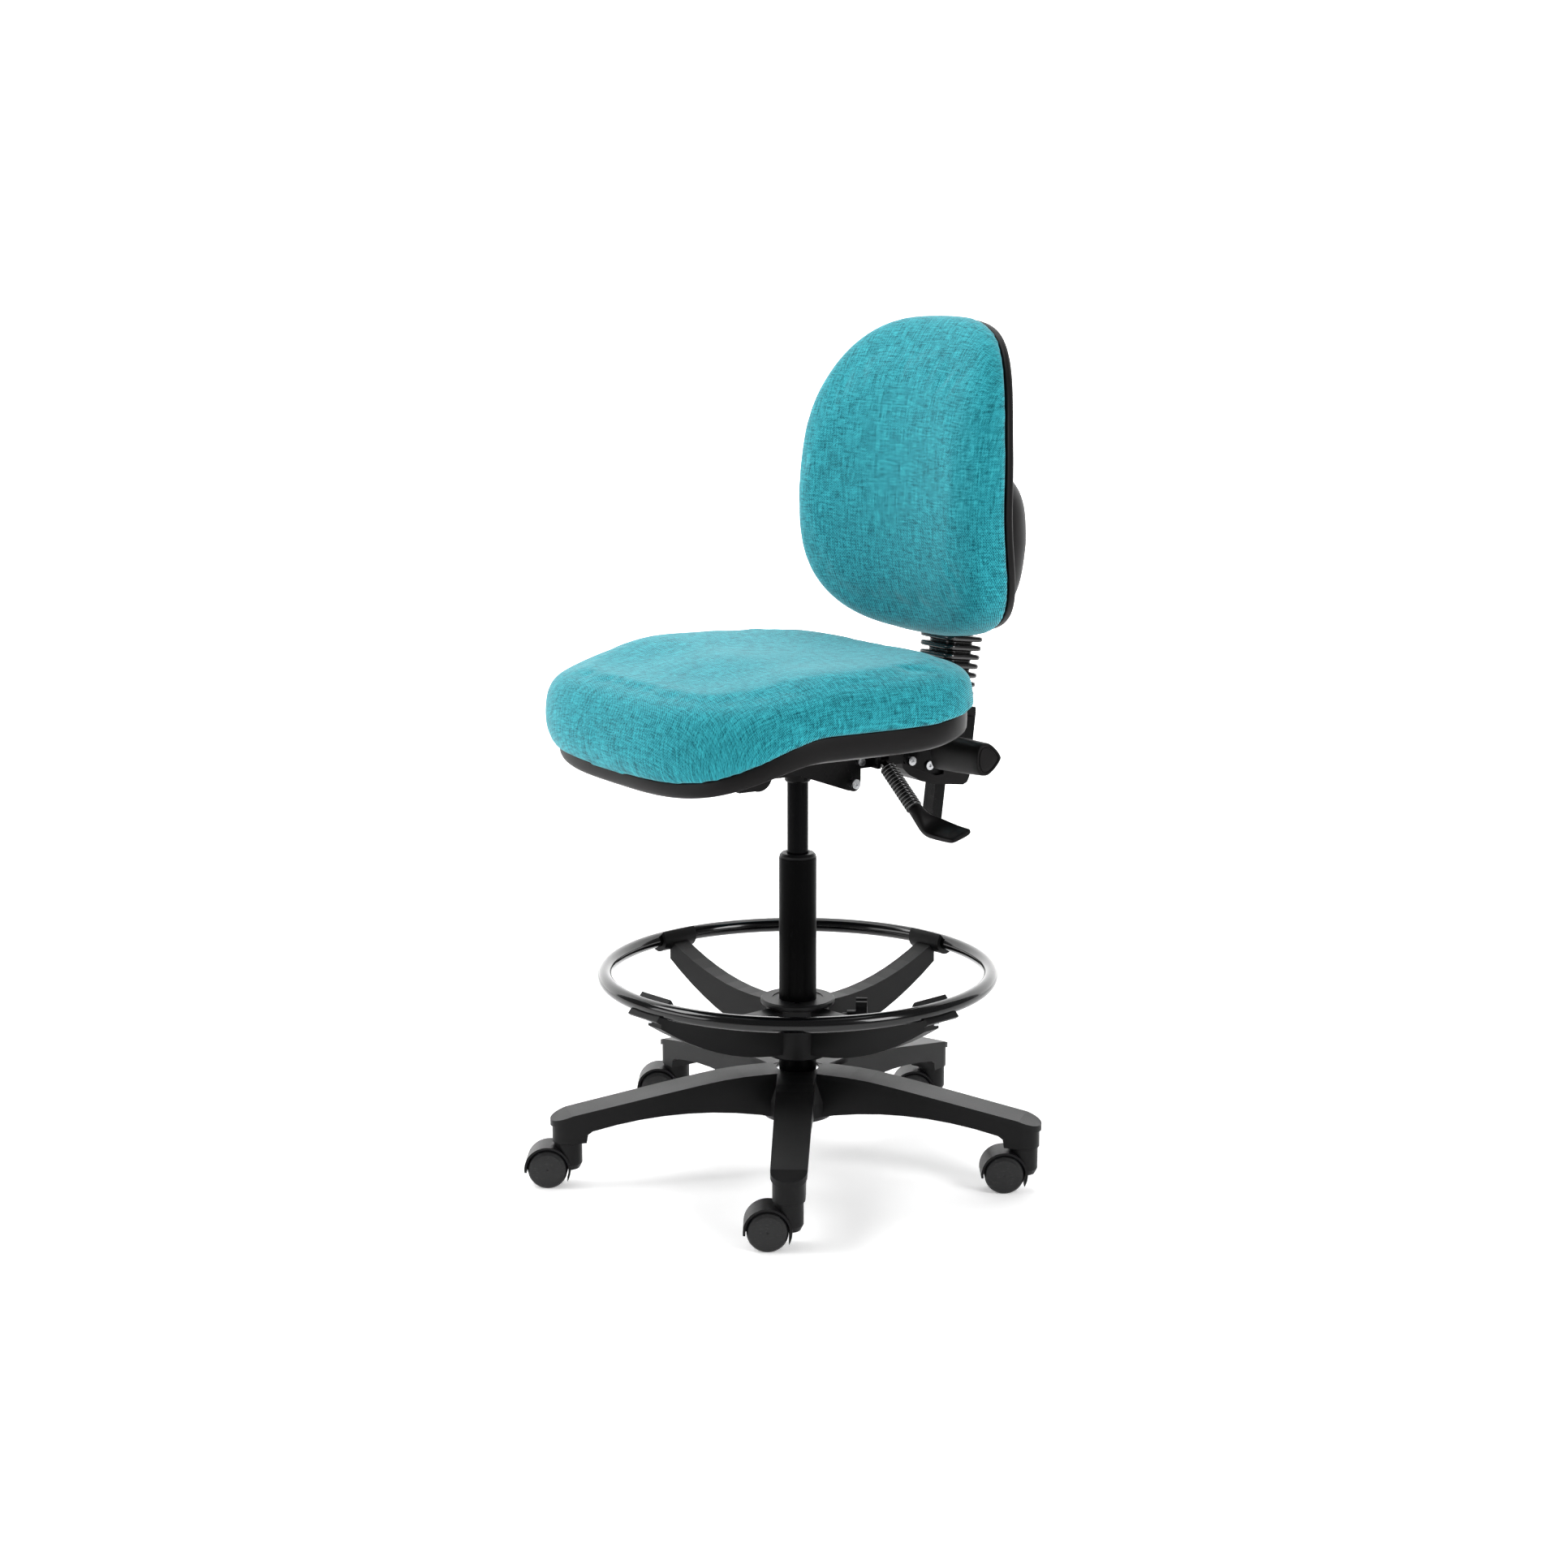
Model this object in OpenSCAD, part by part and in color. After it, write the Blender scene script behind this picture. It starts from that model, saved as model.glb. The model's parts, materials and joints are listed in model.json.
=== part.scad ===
// Drafting chair: a five-leg base on twin-wheel castors, a foot ring that slides on the column,
// a gas lift that swivels, a contoured seat and a tilting back on a sliding bar.
// The origin is on the floor under the column, +Z is up and the sitter faces -Y.

/* [Base] */
// Distance from the column to each castor stem
base_r = 315; // [305:1:325]
// Direction of the first leg, seen from above
base_turn = -35; // [-45:1:-30]
// Width of a leg's top cap at the tip
leg_w = 46; // [44:1:48]
// Height of the legs' crest at the hub
hub_h = 135; // [133:1:137]

/* [Castors] */
// Radius of a castor wheel
wheel_r = 26; // [25:0.5:26]
// Distance from the stem to the axle
castor_trail = 26; // [25.5:0.5:27]
// Direction in which the castors trail, seen from above
castor_yaw = -123; // [-180:1:180]
// Height of the legs' underside at the stems
socket_z = 61; // [61:0.5:62]

/* [Column] */
// Outer radius of the column tube
column_r = 25; // [25:0.5:25.5]
// Height of the column tube's top
column_top = 430; // [425:1:435]
// Radius of the gas cylinder
cylinder_r = 14; // [13:0.5:14]

/* [Foot ring] */
// Radius of the foot ring's centre line
ring_r = 257; // [250:1:262]
// Radius of the foot ring's tube
ring_tube_r = 10; // [9:0.5:11]
// Height of the foot ring's centre line
ring_z = 267.5; // [264:0.5:270]
// Direction of the first arm of the foot ring, seen from above
ring_turn = 10; // [0:1:20]

/* [Seat] */
// Half width of the seat shell
seat_hw = 258; // [252:1:262]
// Half length of the seat shell
seat_hl = 217; // [212:1:222]
// How far the seat's front edge drops
seat_drop = 69; // [62:1:72]
// Height of the seam between the cushion and the shell
seat_seam_z = 633; // [631:1:635]
// Height of the cushion's crown
seat_top_z = 702; // [696:1:706]

/* [Back] */
// Half width of the back
back_hw = 207; // [200:1:214]
// Height of the back's widest line
back_z = 850; // [847:1:853]
// Height of the back above its widest line
back_up = 274; // [266:1:280]
// Height of the back below its widest line
back_down = 136; // [134:1:138]
// Thickness of the back cushion
back_pad = 63; // [56:1:64]
// Lean of the sliding bar from upright
bar_lean = 7; // [6:0.5:8]

/* [Hidden] */
$fn = 64;
CASTORS = [1:5];
CASTOR_PIECES = ["stem", "hood", "wheels", "axle"];
run_gap = 0.06;     // radial clearance of a running fit
clear = 0.5;        // clearance between faces that move past each other

legs = 5;
leg_step = 30;
leg_start = 28;
leg_end = 338;
cap_h = 8;
cap_lip = 2.5;
sleeve_r = 29;

rib_w = 8;
wheel_w = 16;
hood_gap = 1.5;
hood_t = 3;
neck_r = 18.5;
neck_z = 22;
stem_r = 5.5;
stem_top = 88;
axle_r = 3;

tube_wall = 2;
bush_len = 70;
rod_r = 5;
cylinder_low = 200;
cylinder_top = 572;

hub_r = 42;
hub_low = 154;
hub_top = 232;
bush_r = 34;
arm_w = 26;
saddle_r = 17;
saddle_len = 56;
clamp_z = 203;
clamp_turn = ring_turn + 45;
clamp_r = 4;

mech_hw = 60;
mech_low = 546;
mech_top = 592;
mech_wall = 3;
mech_front = -118;
mech_back = 128;
lug_y = 49;
lug_z = 527;
lug_r = 10.5;
tilt_y = 112;
tilt_z = 566;
tilt_r = 6;

bar_w = 23;
bar_d = 17;
bar_y = 224;        // the bar's centre line passes here ...
bar_z = 497;        // ... at this height
bar_low = 436;
bar_high = 862;
guide_top = 609;
lock_y = 186;
lock_z = 560.5;
lock_r = 20.5;
lock_in = 57;
lock_out = 164;

lever_y = 84;
lever_pivot = [76, lever_y, 556];
lever_elbow = [150, lever_y, 503];
boot_ribs = 13;

seat_y = -60;
seat_n = 3.5;
shell_t = 4;
shell_floor = 594;
board_t = 12;
pad_bulge = 9;
under = [0.3, 0.6, 0.82];     // scales of the rings under the cushion
outline_steps = 48;

back_curve = 0.00048;     // how fast the back wraps forward towards its sides, per mm
back_n_up = 3;
back_n_down = 2.85;
back_line = 198;          // the shell's front face at the widest line
back_inner = [0.3, 0.6, 0.88];
bellows_low = 612;
bellows_high = 710;
bellows_pitch = 12.3;

// --- Helpers -------------------------------------------------------------------------------

function mix(a, b, t) = a + (b - a) * t;
function ease(t) = let (c = max(0, min(1, t))) c * c * (3 - 2 * c);
function power(v, n) = sign(v) * pow(abs(v), n);

// Turns a solid drawn in the r-z plane so that r runs along +X
module upright(w) rotate([90, 0, 0]) linear_extrude(w, center = true) children();

// Two triangles for a four-sided patch, split along its shorter diagonal so that parts that lie
// against each other are split alike
function patch(points, a, b, c, d) =
  norm(points[a] - points[c]) < norm(points[b] - points[d]) ? [[a, b, c], [a, c, d]] : [[a, b, d], [b, c, d]];

// A closed solid through rings of points with one count, closed by a point at each end
module loft(first, rings, last) {
  n = len(rings[0]);
  points = concat([first], [for (ring = rings, p = ring) p], [last]);
  end = len(points) - 1;
  faces = concat(
    [for (i = [0 : n - 1]) [0, 1 + (i + 1) % n, 1 + i]],
    [for (j = [0 : len(rings) - 2], i = [0 : n - 1])
      let (a = 1 + j * n + i, b = 1 + j * n + (i + 1) % n)
      each patch(points, a, b, b + n, a + n)],
    [for (i = [0 : n - 1]) [end, end - n + i, end - n + (i + 1) % n]]
  );
  polyhedron(points = points, faces = faces, convexity = 6);
}

// --- Base ----------------------------------------------------------------------------------

// The crest falls gently from the hub and rounds over at the tip
function leg_top(r) =
  let (run = (sqrt(pow(r - 95, 2) + 900) + r - 95) / 2, end = max(0, r - 318))
  hub_h + 1 - 0.165 * run - 4 * pow(end / 20, 2);
function leg_bottom(r) = 89.5 - pow((r - 165) / 33, 2);
function leg_stations(a, b, n) = [for (i = [0 : n]) mix(a, b, i / n)];

module leg_side(top_cut) {
  top = [for (r = leg_stations(leg_start, leg_end, 12)) [r, leg_top(r) - top_cut]];
  under = [for (r = leg_stations(286, leg_start, 8)) [r, leg_bottom(r)]];
  polygon(concat(top, [[leg_end, socket_z], [294, socket_z], [292, 72]], under));
}

module cap_side() {
  top = [for (r = leg_stations(leg_start, leg_end + 1, 12)) [r, leg_top(r)]];
  under = [for (r = leg_stations(leg_end + 1, leg_start, 12)) [r, leg_top(r) - cap_h]];
  polygon(concat(top, under));
}

module leg_plan(extra) {
  tip = leg_w / 2 - cap_lip + extra;
  polygon([[leg_start, -tip - 3], [base_r, -tip], [base_r, tip], [leg_start, tip + 3]]);
  translate([base_r, 0]) circle(tip);
}

module leg_pocket(r0, r1) {
  upright(32) polygon([[r0, 40], [r1, 40], [r1, leg_top(r1) - 14], [r0, leg_top(r0) - 14]]);
}

module leg() {
  difference() {
    union() {
      intersection() {
        upright(80) leg_side(3);
        translate([0, 0, 50]) linear_extrude(120) leg_plan(0);
      }
      intersection() {
        upright(80) cap_side();
        translate([0, 0, 50]) linear_extrude(120) leg_plan(cap_lip);
      }
    }
    leg_pocket(58, 132);
    leg_pocket(137, 206);
    leg_pocket(211, 282);
    translate([base_r, 0, socket_z - 1]) cylinder(r = stem_r + run_gap, h = stem_top - socket_z + 3);
  }
}

module star_base() color([0.13, 0.13, 0.14]) {
  difference() {
    union() {
      rotate_extrude()
        polygon([[20, 70], [46, 70], [50, 76], [50, 96], [41, 126], [37, hub_h], [20, hub_h]]);
      for (k = [0 : legs - 1]) rotate(base_turn + k * 360 / legs) leg();
    }
    translate([0, 0, 60]) cylinder(r = sleeve_r, h = 100);
  }
}

module hub_sleeve() color([0.45, 0.46, 0.48]) difference() {
  translate([0, 0, 70]) cylinder(r = sleeve_r, h = hub_h - 72);
  translate([0, 0, 69]) cylinder(r = column_r, h = hub_h);
}

// --- Castors, drawn with the stem on the Z axis and the wheels trailing along +X ------------

module at_castor(k) {
  turn = base_turn + (k - 1) * 360 / legs;
  translate([base_r * cos(turn), base_r * sin(turn), 0]) rotate(castor_yaw) children();
}

module on_axle() translate([castor_trail, 0, wheel_r]) rotate([90, 0, 0]) children();

module castor_stem() color([0.6, 0.6, 0.62]) {
  translate([0, 0, 46]) cylinder(r = stem_r, h = stem_top - 46);
}

module castor_hood() color([0.12, 0.12, 0.13]) {
  cavity_r = wheel_r + hood_gap;
  half = rib_w / 2 + wheel_w + 0.5;
  difference() {
    union() {
      difference() {
        union() {
          on_axle() cylinder(r = cavity_r + hood_t, h = 2 * half, center = true, $fn = 96);
          rotate_extrude()
            polygon([[0, neck_z], [10, neck_z], [15, 24], [neck_r, 31], [neck_r, socket_z - 1], [0, socket_z - 1]]);
        }
        for (side = [-1, 1])
          on_axle() translate([0, 0, side * (rib_w / 2 + wheel_w)])
            cylinder(r = cavity_r, h = 2 * wheel_w, center = true, $fn = 96);
        translate([0, -50, -50]) cube([100, 100, 50 + neck_z]);
      }
      on_axle() cylinder(r = 11, h = rib_w, center = true);
    }
    on_axle() cylinder(r = axle_r + run_gap, h = 20, center = true);
    translate([0, 0, 46]) cylinder(r = stem_r, h = 40);
  }
}

// Two wheels with closed, domed outer faces
module castor_wheels() color([0.09, 0.09, 0.1]) {
  inner = rib_w / 2 + clear;
  outer = inner + wheel_w;
  for (side = [0, 1])
    on_axle() mirror([0, 0, side]) rotate_extrude($fn = 96)
      polygon([[axle_r, inner], [wheel_r - 1.5, inner], [wheel_r, inner + 1.5], [wheel_r, outer - 3.5],
               [wheel_r - 2, outer - 1], [wheel_r - 6, outer], [10, outer + 0.8], [0, outer + 1],
               [0, outer - 4], [axle_r, outer - 4]]);
}

module castor_axle() color([0.6, 0.6, 0.62]) {
  on_axle() cylinder(r = axle_r, h = 2 * (rib_w / 2 + clear + wheel_w - 4), center = true);
}

// --- Column --------------------------------------------------------------------------------

module column_tube() color([0.05, 0.05, 0.055]) difference() {
  translate([0, 0, 72]) cylinder(r = column_r, h = column_top - 6 - 72);
  translate([0, 0, 78]) cylinder(r = column_r - tube_wall, h = column_top);
  translate([0, 0, 60]) cylinder(r = rod_r + run_gap, h = 40);
}

module column_bush() color([0.16, 0.16, 0.17]) {
  rim = column_top - 6;
  bore = cylinder_r + run_gap;
  seat = column_r - tube_wall;
  rotate_extrude()
    polygon([[bore, rim - bush_len], [seat, rim - bush_len], [seat, rim], [column_r - 0.8, rim],
             [column_r - 0.8, rim + 3], [column_r - 3.5, column_top], [bore + 3, column_top],
             [bore, column_top - 2]]);
}

module piston_rod() color([0.75, 0.76, 0.78]) {
  translate([0, 0, 70]) cylinder(r = rod_r, h = 275);
}

module thrust_bearing() color([0.7, 0.7, 0.72]) {
  for (z = [78, 84])
    translate([0, 0, z]) difference() {
      cylinder(r = 13, h = 2);
      translate([0, 0, -1]) cylinder(r = rod_r + run_gap, h = 5);
    }
  translate([0, 0, 80]) rotate_extrude() translate([9, 2]) circle(2);
}

// --- Foot ring -----------------------------------------------------------------------------

module ring_core(r) translate([0, 0, ring_z]) rotate_extrude($fn = 128) translate([ring_r, 0]) circle(r);

function arm_top(r) = 221 + pow((r - 70) / 26.5, 2);
function arm_bottom(r) = 161 + pow((r - 15) / 26.5, 2);

module ring_arm() {
  outer = ring_r - 8;
  upright(arm_w) polygon(concat(
    [for (r = leg_stations(36, outer, 9)) [r, r < 70 ? arm_top(70) : arm_top(r)]],
    [for (r = leg_stations(outer, 36, 9)) [r, arm_bottom(r)]]));
  translate([ring_r, 0, ring_z]) rotate([90, 0, 0]) intersection() {
    cylinder(r = saddle_r, h = saddle_len, center = true);
    rotate(-135) translate([-1, -50, -50]) cube(100);
  }
}

module ring_screw_places() {
  for (k = [0 : 3]) rotate(ring_turn + k * 90) translate([ring_r, 0, 0]) children();
}

module ring_tube() color([0.03, 0.03, 0.035]) difference() {
  ring_core(ring_tube_r);
  ring_core(ring_tube_r - tube_wall);
  ring_screw_places() translate([0, 0, ring_z - 14]) cylinder(r = 2, h = 12);
}

module ring_spider() color([0.12, 0.12, 0.13]) difference() {
  union() {
    rotate_extrude()
      polygon([[20, hub_low], [hub_r - 2, hub_low], [hub_r, hub_low + 2], [hub_r, 222], [49, 225], [50, 227],
               [50, hub_top - 2], [48, hub_top], [20, hub_top]]);
    for (k = [0 : 3]) rotate(ring_turn + k * 90) ring_arm();
  }
  translate([0, 0, hub_low - 1]) cylinder(r = bush_r, h = hub_top);
  ring_core(ring_tube_r + 0.05);
  ring_screw_places() translate([0, 0, ring_z - 30]) cylinder(r = 2, h = 25);
  along_clamp() cylinder(r = clamp_r + run_gap, h = 60);
}

module along_clamp() rotate(clamp_turn) translate([0, 0, clamp_z]) rotate([0, 90, 0]) children();

module ring_bush() color([0.2, 0.2, 0.21]) difference() {
  translate([0, 0, hub_low + 3]) cylinder(r = bush_r, h = hub_top - hub_low - 4);
  translate([0, 0, hub_low]) cylinder(r = column_r + run_gap, h = 100);
  rotate(clamp_turn - 90) translate([0, -3, hub_low]) cube([60, 6, 100]);
}

module ring_screws() color([0.6, 0.6, 0.62]) {
  ring_screw_places() {
    translate([0, 0, ring_z - 19]) cylinder(r = 2, h = 14);
    translate([0, 0, ring_z - saddle_r - 3]) cylinder(r = 4, h = 3);
  }
}

module ring_knob() color([0.14, 0.14, 0.15]) along_clamp() difference() {
  union() {
    translate([0, 0, 78]) linear_extrude(15) {
      circle(23);
      for (k = [0 : 6]) rotate(k * 360 / 7) translate([22, 0]) circle(6);
    }
    translate([0, 0, 66]) cylinder(r = 11, h = 12);
    translate([0, 0, 60]) cylinder(r = 7.5, h = 6);
  }
  translate([0, 0, 59]) cylinder(r = clamp_r, h = 26);
}

module ring_clamp_screw() color([0.6, 0.6, 0.62]) {
  along_clamp() translate([0, 0, bush_r + 0.1]) cylinder(r = clamp_r, h = 50);
}

// --- Gas lift ------------------------------------------------------------------------------

module gas_cylinder() color([0.04, 0.04, 0.05]) difference() {
  union() {
    translate([0, 0, cylinder_low]) cylinder(r = cylinder_r, h = cylinder_top - cylinder_low - 2);
    translate([0, 0, cylinder_top - 2]) cylinder(r = cylinder_r - 2, h = 2);
  }
  translate([0, 0, cylinder_low - 1]) cylinder(r = rod_r + run_gap, h = 256);
  translate([0, 0, cylinder_top - 16]) cylinder(r = 4 + run_gap, h = 20);
}

module release_pin() color([0.7, 0.7, 0.72]) {
  translate([0, 0, cylinder_top - 12]) cylinder(r = 4, h = 18);
}

// --- Seat frame ----------------------------------------------------------------------------

// A lug plate that hangs below the channel's side wall, drawn in the y-z plane
module lug(x0, thick) {
  translate([x0, 0, 0]) rotate([90, 0, 90]) linear_extrude(thick) {
    polygon([[-42, mech_low + 2], [lug_y - 8, lug_z - 9], [lug_y + lug_r, lug_z], [lug_y + lug_r, mech_low + 2]]);
    translate([lug_y, lug_z]) circle(lug_r);
  }
}

module mech_housing() color([0.1, 0.1, 0.11]) difference() {
  union() {
    difference() {
      translate([-mech_hw, mech_front, mech_low]) cube([2 * mech_hw, mech_back - mech_front, mech_top - mech_low]);
      translate([-mech_hw + mech_wall, mech_front + mech_wall, mech_low - 1])
        cube([2 * (mech_hw - mech_wall), 300, mech_top - mech_low - mech_wall + 1]);
    }
    translate([-mech_hw + 1, -36, mech_low]) cube([2 * mech_hw - 2, 72, mech_wall]);
    for (x = [-mech_hw, mech_hw - 8]) lug(x, 8);
  }
  translate([0, 0, mech_low - 1]) cylinder(r = cylinder_r + 3.5, h = 10);
  translate([-100, lug_y, lug_z]) rotate([0, 90, 0]) cylinder(r = 4, h = 200);
  translate([-100, tilt_y, tilt_z]) rotate([0, 90, 0]) cylinder(r = tilt_r, h = 200);
  seat_bolt_places() translate([0, 0, mech_top - 10]) cylinder(r = 3, h = 20);
}

module cone_socket() color([0.2, 0.2, 0.21]) rotate_extrude()
  polygon([[cylinder_r + run_gap, 527], [cylinder_r + 2, 526], [cylinder_r + 3.5, 528], [cylinder_r + 3.5, 533],
           [cylinder_r + 3.5, 580], [cylinder_r + run_gap, 580]]);

// The moulded nose under the front of the channel
module mech_front_cover() color([0.13, 0.13, 0.14]) difference() {
  translate([0, -80, 0]) rotate([90, 0, 90]) linear_extrude(64, center = true) {
    translate([0, 545]) circle(20);
    translate([-30, 526]) square([30, 19.5]);
  }
  translate([-100, -200, mech_low - 0.2]) cube([200, 200, 50]);
}

module lug_bolts() color([0.75, 0.76, 0.78]) {
  for (side = [0, 1]) mirror([side, 0, 0]) {
    translate([50, lug_y, lug_z]) rotate([0, 90, 0]) cylinder(r = 4, h = 14);
    translate([mech_hw, lug_y, lug_z]) rotate([0, 90, 0]) difference() {
      cylinder(r = 6.5, h = 6);
      translate([0, 0, 3]) cylinder(r = 3, h = 6, $fn = 6);
    }
    translate([mech_hw, lug_y + 10, mech_low + 9]) rotate([0, 90, 0]) cylinder(r = 5.5, h = 4);
  }
}

module seat_bolt_places() {
  for (x = [-44, 44], y = [-90, 60]) translate([x, y, 0]) children();
}

module seat_bolts() color([0.7, 0.7, 0.72]) {
  seat_bolt_places() {
    translate([0, 0, mech_top - 6]) cylinder(r = 3, h = 20);
    translate([0, 0, mech_top - mech_wall - 4]) cylinder(r = 5.5, h = 4, $fn = 6);
  }
}

module tilt_pin() color([0.7, 0.7, 0.72]) {
  translate([-mech_hw - 3, tilt_y, tilt_z]) rotate([0, 90, 0]) cylinder(r = tilt_r, h = 2 * mech_hw + 6);
}

// --- Seat: rings of one superellipse outline, scaled and set at their own heights ------------

function seat_point(a, grow, scale) = [
  scale * (seat_hw + grow) * power(cos(a), 2 / seat_n),
  seat_y + scale * (seat_hl + grow) * power(sin(a), 2 / seat_n) - grow * 0.7
];
function front_fall(y, from, run) = ease((from - y) / run);
function seam_fall(y) = front_fall(y, -116, 207);
function seam_height(y) = seat_seam_z - seat_drop * seam_fall(y) + 9 * ease((y - 20) / 120);
function floor_height(y) = shell_floor - 32 * front_fall(y, -120, 162);
function seat_ring(grow, scale, heights) =
  [for (i = [0 : outline_steps - 1])
    let (p = seat_point(i * 360 / outline_steps, grow, scale))
    [p.x, p.y, heights(p.y)]];

// The band round the shell is 30 high at the sides and 18 at the front
function band(y) = 30 - 12 * seam_fall(y);
function under_rings(up) = [for (s = under) seat_ring(0, s, function (y) floor_height(y) + up)];
function under_rings_back(up) = [for (i = [len(under) - 1 : -1 : 0]) under_rings(up)[i]];

module seat_shell() color([0.15, 0.15, 0.16]) difference() {
  loft([0, seat_y, shell_floor],
    concat(
      under_rings(0),
      [seat_ring(0, 0.95, function (y) mix(floor_height(y), seam_height(y) - band(y), 0.45)),
       seat_ring(0, 0.988, function (y) seam_height(y) - band(y)),
       seat_ring(0, 1, function (y) seam_height(y) - band(y) + 5),
       seat_ring(0, 1, function (y) seam_height(y)),
       seat_ring(0, 0.98, function (y) seam_height(y)),
       seat_ring(0, 0.975, function (y) seam_height(y) - band(y) + 8),
       seat_ring(0, 0.94, function (y) mix(floor_height(y), seam_height(y) - band(y), 0.45) + shell_t)],
      under_rings_back(shell_t)),
    [0, seat_y, shell_floor + shell_t]);
  seat_bolt_places() translate([0, 0, shell_floor - 5]) cylinder(r = 3, h = 20);
}

module seat_board() color([0.72, 0.58, 0.38]) difference() {
  loft([0, seat_y, shell_floor + shell_t + 0.4],
    concat(under_rings(shell_t + 0.4), under_rings_back(shell_t + board_t)),
    [0, seat_y, shell_floor + shell_t + board_t]);
  seat_bolt_places() translate([0, 0, shell_floor - 5]) cylinder(r = 3, h = 17);
}

function cushion_top(y) = seat_top_z - 22 * front_fall(y, -78, 161);

module seat_cushion() color([0.16, 0.62, 0.66]) {
  loft([0, seat_y, shell_floor + shell_t + board_t + 0.3],
    concat(
      under_rings(shell_t + board_t + 0.3),
      [seat_ring(0, 0.965, function (y) seam_height(y) - 2),
       seat_ring(0, 0.975, function (y) seam_height(y) + 0.8),
       seat_ring(0, 0.988, function (y) seam_height(y) + 1.2),
       seat_ring(pad_bulge, 0.99, function (y) seam_height(y) + 12),
       seat_ring(pad_bulge, 1, function (y) mix(seam_height(y), cushion_top(y), 0.4)),
       seat_ring(pad_bulge, 0.98, function (y) mix(seam_height(y), cushion_top(y), 0.72)),
       seat_ring(pad_bulge, 0.94, function (y) cushion_top(y) - 8),
       seat_ring(pad_bulge, 0.88, function (y) cushion_top(y) - 2),
       seat_ring(pad_bulge, 0.8, function (y) cushion_top(y)),
       seat_ring(pad_bulge, 0.5, function (y) cushion_top(y) - 6),
       seat_ring(pad_bulge, 0.2, function (y) cushion_top(y) - 10)]),
    [0, seat_y, seat_top_z - 10]);
}

// --- Gas lever: a steel rod in a ribbed boot, with a moulded paddle ---------------------------

lever_drop = lever_elbow.z - lever_pivot.z;
lever_run = lever_elbow.x - lever_pivot.x;
lever_len = norm(lever_elbow - lever_pivot);
lever_slope = atan2(-lever_drop, lever_run);

// Draws along the lever's rod: +Z runs from the pivot to the elbow
module along_lever() translate(lever_pivot) rotate([0, 90 + lever_slope, 0]) children();

module lever_boss() color([0.1, 0.1, 0.11]) difference() {
  union() {
    for (side = [-1, 1])
      translate([mech_hw, lever_y + side * 9 - 2.5, 547]) cube([20, 5, 24]);
    translate([mech_hw, lever_y - 11.5, 566]) cube([20, 23, 5]);
  }
  translate([lever_pivot.x, lever_y, lever_pivot.z]) rotate([90, 0, 0]) cylinder(r = 2.5 + run_gap, h = 60, center = true);
}

module lever_rod() color([0.5, 0.5, 0.52]) {
  translate(lever_pivot) rotate([90, 0, 0]) cylinder(r = 5, h = 12.4, center = true);
  translate(lever_pivot) rotate([90, 0, 0]) cylinder(r = 2.5, h = 24, center = true);
  along_lever() translate([0, 0, 3]) cylinder(r = 4, h = lever_len - 1);
}

module lever_boot() color([0.08, 0.08, 0.09]) along_lever() difference() {
  pitch = (lever_len - 17) / boot_ribs;
  union() {
    translate([0, 0, 12]) cylinder(r = 8.6, h = lever_len - 15);
    for (k = [0 : boot_ribs - 1])
      translate([0, 0, 14 + k * pitch]) cylinder(r = 10.6, h = pitch * 0.55);
  }
  translate([0, 0, 11]) cylinder(r = 4, h = lever_len);
}

module lever_paddle() color([0.12, 0.12, 0.13]) difference() {
  union() {
    along_lever() translate([0, 0, lever_len - 3]) cylinder(r = 9, h = 13);
    translate([lever_elbow.x + 2, lever_y, lever_elbow.z - 6]) rotate([33, 15, 3]) {
      translate([0, -11, -6]) cube([24, 25, 11]);
      translate([20, -13, -5]) cube([46, 32, 8]);
      translate([62, 3, -5]) cylinder(r = 16, h = 8);
    }
  }
  along_lever() translate([0, 0, lever_len - 5]) cylinder(r = 4, h = 7);
}

// --- Tilt bracket, which carries the bar's guide, its cover and the lock ----------------------

// Draws in the bar's own frame: +Z runs up the bar from its reference point
module along_bar() translate([0, bar_y, bar_z]) rotate([-bar_lean, 0, 0]) children();

guide_w = bar_w + 21;
guide_d = bar_d + 34;
guide_low = 56;
guide_high = guide_top - bar_z;

module tilt_bracket() color([0.1, 0.1, 0.11]) difference() {
  union() {
    for (x = [-guide_w / 2 - 5.5, guide_w / 2 + 0.5])
      translate([x, 0, 0]) rotate([90, 0, 90]) linear_extrude(5) {
        polygon([[tilt_y - 4, tilt_z + 16], [tilt_y - 4, tilt_z - 16], [150, 547], [156, 533], [204, 516], [246, 512],
                 [252, 548], [266, 556], [270, 592], [220, 594]]);
        translate([tilt_y, tilt_z]) circle(16);
      }
    translate([-guide_w / 2 - 2, 150, 572]) cube([guide_w + 4, 44, 4]);
    translate([0, tilt_y, tilt_z]) rotate([0, 90, 0]) cylinder(r = 11, h = guide_w + 4, center = true);
  }
  translate([0, tilt_y, tilt_z]) rotate([0, 90, 0]) cylinder(r = tilt_r + run_gap, h = 100, center = true);
  translate([0, lock_y, lock_z]) rotate([0, 90, 0]) cylinder(r = tilt_r + run_gap, h = 100, center = true);
}

module bar_guide() color([0.13, 0.13, 0.14]) along_bar() difference() {
  front = -bar_d / 2 - 3.5;
  union() {
    translate([-guide_w / 2, front, guide_low]) cube([guide_w, guide_d, guide_high - guide_low - 9]);
    translate([0, front + guide_d / 2, guide_high - 9]) rotate([90, 0, 0]) intersection() {
      cylinder(r = guide_w / 2, h = guide_d, center = true);
      translate([-guide_w, 0, -guide_d]) cube([2 * guide_w, 9, 2 * guide_d]);
    }
  }
  translate([-bar_w / 2 - 0.2, -bar_d / 2 - 0.2, -10]) cube([bar_w + 0.4, bar_d + 0.4, 200]);
}

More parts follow.
